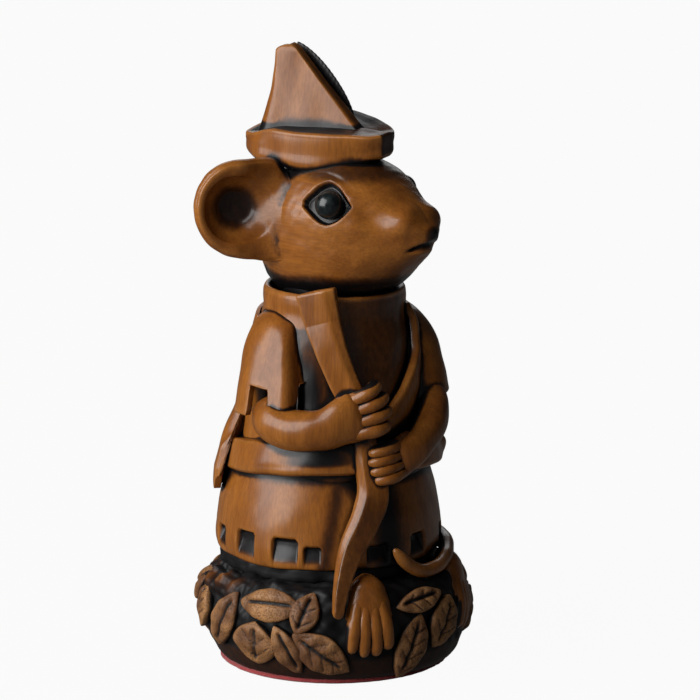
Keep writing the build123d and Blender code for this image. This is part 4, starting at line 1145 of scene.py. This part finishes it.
def recesses(pieces):
    """How deep in a fold each point lies and how hollow its place is, by the solid at three reaches."""
    solid, square, low = solid_field(pieces)
    waves = np.fft.rfftn(solid)
    fields = [np.fft.irfftn(waves * np.exp(-square * reach ** 2 / 2), s=solid.shape)
              for reach in (CLOSE_REACH, BROAD_REACH, FAR_REACH)]

    def sampled(field, points):
        """Field at points, from the eight cells round each."""
        place = np.clip((points - low) / CELL, 0, np.array(field.shape) - 1.001)
        return sum(share * field[cell] for cell, share in cells_round(place))

    # The broad and far looks mark painted shade under and behind parts; the close look marks folds for stain
    # and painted shade
    out = {}
    for name, piece in pieces.items():
        normal = point_normals(piece)
        close, broad, far = (sampled(field, piece["points"] + off * normal)
                             for field, off in zip(fields, (CLOSE_OFF, BROAD_OFF, FAR_OFF)))
        out[name] = close, np.maximum((broad - BROAD_FLAT) / BROAD_SPAN, (far - FAR_FLAT) / FAR_SPAN)
    return out


# Materials

def group_of(name, inputs, outputs):
    """Empty shader node group with named sockets."""
    group = bpy.data.node_groups.new(name, "ShaderNodeTree")
    for kind, title, value in inputs:
        socket = group.interface.new_socket(title, in_out="INPUT", socket_type=kind)
        socket.default_value = value
    for title in outputs:
        group.interface.new_socket(title, in_out="OUTPUT", socket_type="NodeSocketFloat")
    return group, group.nodes.new("NodeGroupInput").outputs, group.nodes.new("NodeGroupOutput").inputs


def node(tree, kind, **settings):
    """New node in a tree, with its settings."""
    made = tree.nodes.new(kind)
    for key, value in settings.items():
        setattr(made, key, value)
    return made


def feed(tree, socket, value):
    """A socket fed by another socket, or set to a value."""
    if isinstance(value, bpy.types.NodeSocket):
        tree.links.new(value, socket)
    else:
        socket.default_value = value


def maths(tree, operation, *values, clamp=False):
    """Sum, product or other operation on sockets and numbers."""
    made = node(tree, "ShaderNodeMath", operation=operation, use_clamp=clamp)
    for socket, value in zip(made.inputs, values):
        feed(tree, socket, value)
    return made.outputs[0]


def times(tree, first, second):
    """Product of two values."""
    return maths(tree, "MULTIPLY", first, second)


def plus(tree, first, second):
    """Sum of two values."""
    return maths(tree, "ADD", first, second)


def mixed(tree, factor, first, second):
    """Mix of two colours."""
    made = node(tree, "ShaderNodeMix", data_type="RGBA", blend_type="MIX")
    feed(tree, made.inputs[0], factor)
    feed(tree, made.inputs[6], first)
    feed(tree, made.inputs[7], second)
    return made.outputs[2]


def ranged(tree, value, low, high, to_low=0.0, to_high=1.0):
    """A value's soft step from low to high."""
    made = node(tree, "ShaderNodeMapRange", interpolation_type="SMOOTHSTEP")
    for socket, number in zip(made.inputs[:5], (value, low, high, to_low, to_high)):
        feed(tree, socket, number)
    return made.outputs[0]


def noise(tree, vector, scale, detail, roughness=0.5):
    """Noise at a place, of a scale per mm."""
    made = node(tree, "ShaderNodeTexNoise")
    for title, value in (("Vector", vector), ("Scale", scale), ("Detail", detail), ("Roughness", roughness)):
        feed(tree, made.inputs[title], value)
    return made.outputs["Fac"]


def in_mm(tree, stretch):
    """Object coordinates in millimetres, stretched along the grain."""
    place = node(tree, "ShaderNodeTexCoord").outputs["Object"]
    made = node(tree, "ShaderNodeVectorMath", operation="MULTIPLY")
    feed(tree, made.inputs[0], place)
    feed(tree, made.inputs[1], stretch)
    grown = node(tree, "ShaderNodeVectorMath", operation="SCALE")
    feed(tree, grown.inputs[0], made.outputs[0])
    grown.inputs["Scale"].default_value = 1 / MM
    return grown.outputs[0]


def attribute(tree, name):
    """Value kept on a piece's points."""
    return node(tree, "ShaderNodeAttribute", attribute_type="GEOMETRY", attribute_name=name).outputs["Fac"]


def grain_group():
    """Fine wood grain: long thin lines, short pores and slow bands of tone, from stretched noise."""
    inputs = [("NodeSocketVector", "Stretch", (1, 1, 0.06))]
    group, given, put = group_of("wood grain", inputs, ("Lines", "Tone", "Pores"))
    place = in_mm(group, given["Stretch"])
    feed(group, put["Lines"], noise(group, place, 2.6, 4.0, 0.62))
    feed(group, put["Tone"], ranged(group, noise(group, place, 0.22, 3.0), 0.30, 0.70))
    feed(group, put["Pores"], ranged(group, noise(group, place, 5.5, 2.0), 0.62, 0.74))
    return group


def stain_and_shade_group():
    """Dark stain and painted shade left in the hollows: fold, hollow and paint, broken up by brushed noise.

    Paint below zero wipes the stain and the painted shade off.
    """
    inputs = [("NodeSocketFloat", "From", 0.5), ("NodeSocketFloat", "To", 0.8)]
    group, given, put = group_of("recess stain", inputs, ("Wash_and_shade", "Stain_and_shade", "Rubbed_and_highlit"))
    brushed = noise(group, in_mm(group, (1, 1, 0.6)), 0.9, 5.0, 0.62)
    shift = times(group, maths(group, "SUBTRACT", brushed, 0.5), 0.30)
    paint = attribute(group, "painted")
    wiped = maths(group, "MINIMUM", paint, 0.0)
    edge = plus(group, attribute(group, "fold"), times(group, shift, 0.5))
    fold = plus(group, edge, times(group, wiped, 0.3))
    fold = ranged(group, fold, given["From"], given["To"])
    hollow = plus(group, attribute(group, "hollow"), times(group, shift, 1.2))
    hollow = ranged(group, plus(group, hollow, wiped), 0.05, 1.0)
    painted = ranged(group, plus(group, paint, times(group, shift, 0.8)), 0.05, 0.95)
    # Shade is stain in the folds plus painted shade in hollows and painted zones; both the wash and the
    # stain outputs carry it
    shade = maths(group, "MAXIMUM", maths(group, "MAXIMUM", fold, hollow), painted, clamp=True)
    feed(group, put["Wash_and_shade"], ranged(group, shade, 0.04, 0.60))
    feed(group, put["Stain_and_shade"], ranged(group, shade, 0.42, 0.95))
    # Convex edges lighter: wear on the carving plus a painted highlight along them
    feed(group, put["Rubbed_and_highlit"], ranged(group, edge, 0.26, 0.12))
    return group


GRAIN = grain_group()
STAIN_AND_SHADE = stain_and_shade_group()


def bare_tree(owner):
    """Node tree of a material or world, emptied."""
    owner.use_nodes = True
    owner.node_tree.nodes.clear()
    return owner.node_tree


def material_of(name):
    """New material with its tree and its shader's sockets."""
    made = bpy.data.materials.new(name)
    tree = bare_tree(made)
    shader = node(tree, "ShaderNodeBsdfPrincipled")
    tree.links.new(shader.outputs[0], node(tree, "ShaderNodeOutputMaterial").inputs[0])
    return made, tree, shader.inputs


def placed(tree, group, **values):
    """Outputs of a node group put in a tree, with its inputs set."""
    made = node(tree, "ShaderNodeGroup", node_tree=group)
    for title, value in values.items():
        made.inputs[title].default_value = value
    return made.outputs


def bumped(tree, shader, height, strength, distance):
    """Fine relief on a shader."""
    made = node(tree, "ShaderNodeBump")
    for title, value in (("Strength", strength), ("Distance", distance), ("Height", height)):
        feed(tree, made.inputs[title], value)
    feed(tree, shader["Normal"], made.outputs[0])


# Colours of the finishes
LIGHT_BROWN = (0.37, 0.130, 0.020, 1)
MID_BROWN = (0.24, 0.075, 0.011, 1)
DARK_BROWN = (0.085, 0.024, 0.004, 1)
GROUND_BROWN = (0.05, 0.02, 0.008, 1)
LEAF_DARK = (0.16, 0.058, 0.014, 1)
LEAF_LIGHT = (0.42, 0.195, 0.062, 1)
LEAF_DOTS = (0.045, 0.020, 0.009, 1)
DARK_RED = (0.20, 0.012, 0.014, 1)
LIGHT_RED = (0.50, 0.050, 0.050, 1)
EYE_DARK = (0.005, 0.007, 0.008, 1)
EYE_LIGHT = (0.014, 0.021, 0.021, 1)
BLACK_DARK = (0.006, 0.006, 0.007, 1)
BLACK_LIGHT = (0.020, 0.017, 0.016, 1)
DOWEL_DARK = (0.52, 0.36, 0.20, 1)
DOWEL_LIGHT = (0.68, 0.50, 0.30, 1)
# Layers over a wood's own colour, each an amount and a colour; wash and stain also lay painted shade, rubbed
# a painted highlight
WOOD_LAYERS = {
    "Rubbed_and_highlit": (0.40, (0.50, 0.205, 0.050, 1)),
    "Wash_and_shade": (0.90, (0.045, 0.013, 0.003, 1)),
    "Stain_and_shade": (0.97, (0.0030, 0.0035, 0.0046, 1)),
}
LEAF_LAYERS = {
    "Rubbed_and_highlit": (0.45, (0.50, 0.25, 0.10, 1)),
    "Wash_and_shade": (0.85, (0.040, 0.015, 0.005, 1)),
    "Stain_and_shade": (0.97, (0.0024, 0.0026, 0.0034, 1)),
}


def layered(tree, colour, stain_and_shade, layers):
    """A wood's colour rubbed lighter on edges as wear and painted highlight, washed brown in folds and
    stained black in hollows, the wash and stain also laying painted shade.
    """
    for title, (amount, over) in layers.items():
        colour = mixed(tree, times(tree, stain_and_shade[title], amount), colour, over)
    return colour


def carved_wood(name, stretch, light, mid, dark, roughness=0.29, coat=0.32):
    """Waxed wood: grain and slow tone in brown, rubbed lighter on edges with a painted highlight, with dark
    stain and painted shade in the hollows.
    """
    made, tree, shader = material_of(name)
    grain = placed(tree, GRAIN, Stretch=stretch)
    stain_and_shade = placed(tree, STAIN_AND_SHADE, From=0.33, To=0.52)
    lines = ranged(tree, grain["Lines"], 0.36, 0.66)
    colour = mixed(tree, grain["Tone"], mid, light)
    colour = mixed(tree, times(tree, lines, 0.33), colour, dark)
    colour = mixed(tree, times(tree, grain["Pores"], 0.22), colour, dark)
    feed(tree, shader["Base Color"], layered(tree, colour, stain_and_shade, WOOD_LAYERS))
    rough = plus(tree, roughness, times(tree, lines, 0.08))
    feed(tree, shader["Roughness"], plus(tree, rough, times(tree, stain_and_shade["Stain_and_shade"], 0.05)))
    bare = maths(tree, "SUBTRACT", 1.0, times(tree, stain_and_shade["Stain_and_shade"], 0.3))
    feed(tree, shader["Coat Weight"], times(tree, bare, coat))
    shader["Coat Roughness"].default_value = 0.20
    shader["Specular IOR Level"].default_value = 0.28
    bumped(tree, shader, plus(tree, grain["Lines"], times(tree, grain["Pores"], -0.5)), 0.22, 0.00008)
    return made


def leaf_wood():
    """Leaf surface: matte punched wood, speckled with dark dots, stained in the slits, with painted shade in
    the hollows.
    """
    made, tree, shader = material_of("speckled leaf wood")
    stain_and_shade = placed(tree, STAIN_AND_SHADE, From=0.40, To=0.58)
    place = in_mm(tree, (1, 1, 1))
    dots = ranged(tree, noise(tree, place, 3.6, 2.0, 0.6), 0.48, 0.62)
    tone = ranged(tree, noise(tree, place, 0.12, 2.0), 0.35, 0.65)
    colour = mixed(tree, tone, LEAF_DARK, LEAF_LIGHT)
    colour = mixed(tree, times(tree, dots, 0.66), colour, LEAF_DOTS)
    feed(tree, shader["Base Color"], layered(tree, colour, stain_and_shade, LEAF_LAYERS))
    feed(tree, shader["Roughness"], plus(tree, 0.50, times(tree, dots, 0.15)))
    bumped(tree, shader, times(tree, dots, -1.0), 0.5, 0.00022)
    return made


def felt_cloth():
    """Red felt: short fibres from noise, with a soft sheen."""
    made, tree, shader = material_of("red felt cloth")
    fibres = noise(tree, in_mm(tree, (1, 1, 1)), 4.0, 4.0, 0.7)
    feed(tree, shader["Base Color"], mixed(tree, ranged(tree, fibres, 0.3, 0.7), DARK_RED, LIGHT_RED))
    feed(tree, shader["Roughness"], plus(tree, 0.80, times(tree, fibres, 0.15)))
    shader["Sheen Weight"].default_value = 0.4
    bumped(tree, shader, fibres, 0.7, 0.0003)
    return made


def eye_gloss():
    """Black polished bead, a little uneven in gloss."""
    made, tree, shader = material_of("black eye bead")
    smear = noise(tree, in_mm(tree, (1, 1, 1)), 0.8, 3.0)
    feed(tree, shader["Base Color"], mixed(tree, ranged(tree, smear, 0.35, 0.7), EYE_DARK, EYE_LIGHT))
    feed(tree, shader["Roughness"], ranged(tree, smear, 0.3, 0.7, 0.20, 0.34))
    shader["Coat Weight"].default_value = 0.15
    shader["Coat Roughness"].default_value = 0.12
    return made


def plain_wood(name, run, dark, light, glossy, matt, relief=0.0):
    """Wood with no stain layers: two tones and a gloss from the grain lines alone."""
    made, tree, shader = material_of(name)
    lines = placed(tree, GRAIN, Stretch=(1, 1, run))["Lines"]
    feed(tree, shader["Base Color"], mixed(tree, lines, dark, light))
    feed(tree, shader["Roughness"], ranged(tree, lines, 0.3, 0.7, glossy, matt))
    if relief:
        bumped(tree, shader, lines, relief, 0.0001)
    return made


BODY_WOOD = carved_wood("waxed body wood", (1, 1, 0.07), LIGHT_BROWN, MID_BROWN, DARK_BROWN)
HEAD_WOOD = carved_wood("waxed head wood", (1, 0.07, 1), LIGHT_BROWN, MID_BROWN, DARK_BROWN)
GROUND_WOOD = carved_wood("stained ground wood", (1, 1, 0.5), MID_BROWN, DARK_BROWN, GROUND_BROWN,
                          roughness=0.48, coat=0.06)
LEAF_WOOD = leaf_wood()
FELT = felt_cloth()
EYE = eye_gloss()
# The feather's near black is partly its dark stain and partly painted shade
STAINED_AND_SHADED_BLACK_WOOD = plain_wood("black stained and shaded wood", 0.08, BLACK_DARK, BLACK_LIGHT, 0.38, 0.52, 0.4)
DOWEL = plain_wood("pale dowel wood", 0.05, DOWEL_DARK, DOWEL_LIGHT, 0.50, 0.62)

# Finish and slot of each piece that is neither body wood nor a leaf
FINISHES = {
    "felt_pad": (FELT, "red_felt"),
    "base_mound": (GROUND_WOOD, "carved_wood"),
    "leg_block": (GROUND_WOOD, "carved_wood"),
    "head": (HEAD_WOOD, "carved_wood"),
    "right_ear": (HEAD_WOOD, "carved_wood"),
    "left_ear": (HEAD_WOOD, "carved_wood"),
    "right_eye": (EYE, "eye_bead"),
    "left_eye": (EYE, "eye_bead"),
    "hat_feather": (STAINED_AND_SHADED_BLACK_WOOD, "black_stained_wood"),
}


# Setting the pieces up

def new_object(name, data):
    """Object with its data, put in the scene."""
    made = bpy.data.objects.new(name, data)
    bpy.context.scene.collection.objects.link(made)
    return made


def set_up(name, piece, close, broad):
    """One mesh object at the origin for a node, with its fold, hollow and paint kept on its points."""
    mesh = bpy.data.meshes.new(name + "_carving")
    quads, tris = piece["quads"], piece["tris"]
    mesh.vertices.add(len(piece["points"]))
    mesh.vertices.foreach_set("co", (piece["points"] * MM).astype(np.float32).ravel())
    corners = np.concatenate([quads.ravel(), tris.ravel()]).astype(np.int32)
    starts = np.concatenate([np.arange(len(quads)) * 4, len(quads) * 4 + np.arange(len(tris)) * 3])
    mesh.loops.add(len(corners))
    mesh.loops.foreach_set("vertex_index", corners)
    mesh.polygons.add(len(starts))
    mesh.polygons.foreach_set("loop_start", starts.astype(np.int32))
    mesh.polygons.foreach_set("use_smooth", np.ones(len(starts), bool))
    mesh.update(calc_edges=True)
    mesh.validate()
    for title, values in (("fold", close), ("hollow", broad), ("painted", piece["stain_and_shade"])):
        layer = mesh.attributes.new(title, "FLOAT", "POINT")
        layer.data.foreach_set("value", values.astype(np.float32))
    made = new_object(name + "_carving", mesh)
    finish, slot = FINISHES.get(name, (BODY_WOOD, "carved_wood"))
    if name.startswith("leaf_"):
        finish, slot = LEAF_WOOD, "leaf_wood"
    mesh.materials.append(finish)
    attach(made, "root")
    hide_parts(name)


PIECES = carved_pieces()
FOLDS = recesses(PIECES)
for node_name, shape in PIECES.items():
    set_up(node_name, shape, *FOLDS[node_name])

for node_name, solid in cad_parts.items():
    if node_name.endswith("dowel"):
        solid.data.materials.clear()
        solid.data.materials.append(DOWEL)


# Floor, light and camera

FLOOR_R = 3.0
FLOOR_DROP = 0.0001
FIGURE_MIDDLE = (0.0, 0.0, 0.06)
CAMERA_PLACE = (-0.6364, -0.6364, 0.263)
CAMERA_AIM = (0.0018, -0.0018, 0.0605)
CAMERA_LENS = 245.8


def pale_floor():
    """Wide disc under the felt; the camera sees it nearly white, with the soft shadow kept."""
    ring = polar(np.degrees(round_about(64)), FLOOR_R, -FLOOR_DROP)
    mesh = bpy.data.meshes.new("floor")
    mesh.from_pydata(ring.tolist(), [], [list(range(len(ring)))])
    made = new_object("floor", mesh)
    paint = bpy.data.materials.new("pale floor paint")
    tree = bare_tree(paint)
    matt = node(tree, "ShaderNodeBsdfDiffuse")
    matt.inputs["Color"].default_value = (0.25, 0.25, 0.25, 1)
    white = node(tree, "ShaderNodeEmission")
    ray = node(tree, "ShaderNodeLightPath").outputs
    seen = maths(tree, "ADD", ray["Is Camera Ray"], ray["Is Glossy Ray"], clamp=True)
    dim = times(tree, ray["Is Glossy Ray"], 0.90)
    feed(tree, white.inputs["Strength"], maths(tree, "SUBTRACT", 1.0, dim))
    blend = node(tree, "ShaderNodeMixShader")
    feed(tree, blend.inputs[0], times(tree, seen, 0.95))
    tree.links.new(matt.outputs[0], blend.inputs[1])
    tree.links.new(white.outputs[0], blend.inputs[2])
    tree.links.new(blend.outputs[0], node(tree, "ShaderNodeOutputMaterial").inputs[0])
    mesh.materials.append(paint)


def studio_world():
    """Soft grey light all round, white to the camera."""
    world = bpy.data.worlds.new("studio")
    bpy.context.scene.world = world
    tree = bare_tree(world)
    ray = node(tree, "ShaderNodeLightPath")
    shade = node(tree, "ShaderNodeBackground")
    shade.inputs["Color"].default_value = (1, 1, 1, 1)
    feed(tree, shade.inputs["Strength"], plus(tree, 0.03, times(tree, ray.outputs["Is Camera Ray"], 0.97)))
    tree.links.new(shade.outputs[0], node(tree, "ShaderNodeOutputWorld").inputs[0])


def aimed(made, place, aim):
    """A lamp or camera set at a place and turned to look at another."""
    made.location = place
    made.rotation_mode = "QUATERNION"
    made.rotation_quaternion = (Vector(aim) - Vector(place)).to_track_quat("-Z", "Y")


def lamp(name, place, width, height, power):
    """Flat lamp of a size in metres and a power in watts, aimed at the figure's middle."""
    data = bpy.data.lights.new(name, "AREA")
    data.shape = "RECTANGLE"
    data.size = width
    data.size_y = height
    data.energy = power
    aimed(new_object(name, data), place, FIGURE_MIDDLE)


def photo_camera():
    """Long lens from the right of the front, a little above the hat."""
    data = bpy.data.cameras.new("photo camera")
    data.sensor_width = 36.0
    data.lens = CAMERA_LENS
    data.clip_start = 0.05
    data.clip_end = 20.0
    made = new_object("photo camera", data)
    aimed(made, CAMERA_PLACE, CAMERA_AIM)
    bpy.context.scene.camera = made


pale_floor()
studio_world()
lamp("window", (-1.30, 0.36, 0.72), 1.4, 1.4, 33.0)
lamp("front fill", (-0.35, -0.95, 0.35), 0.7, 0.5, 0.10)
lamp("back fill", (0.75, 0.75, 0.40), 0.7, 0.5, 1.0)
photo_camera()
bpy.context.scene.view_settings.view_transform = "Standard"
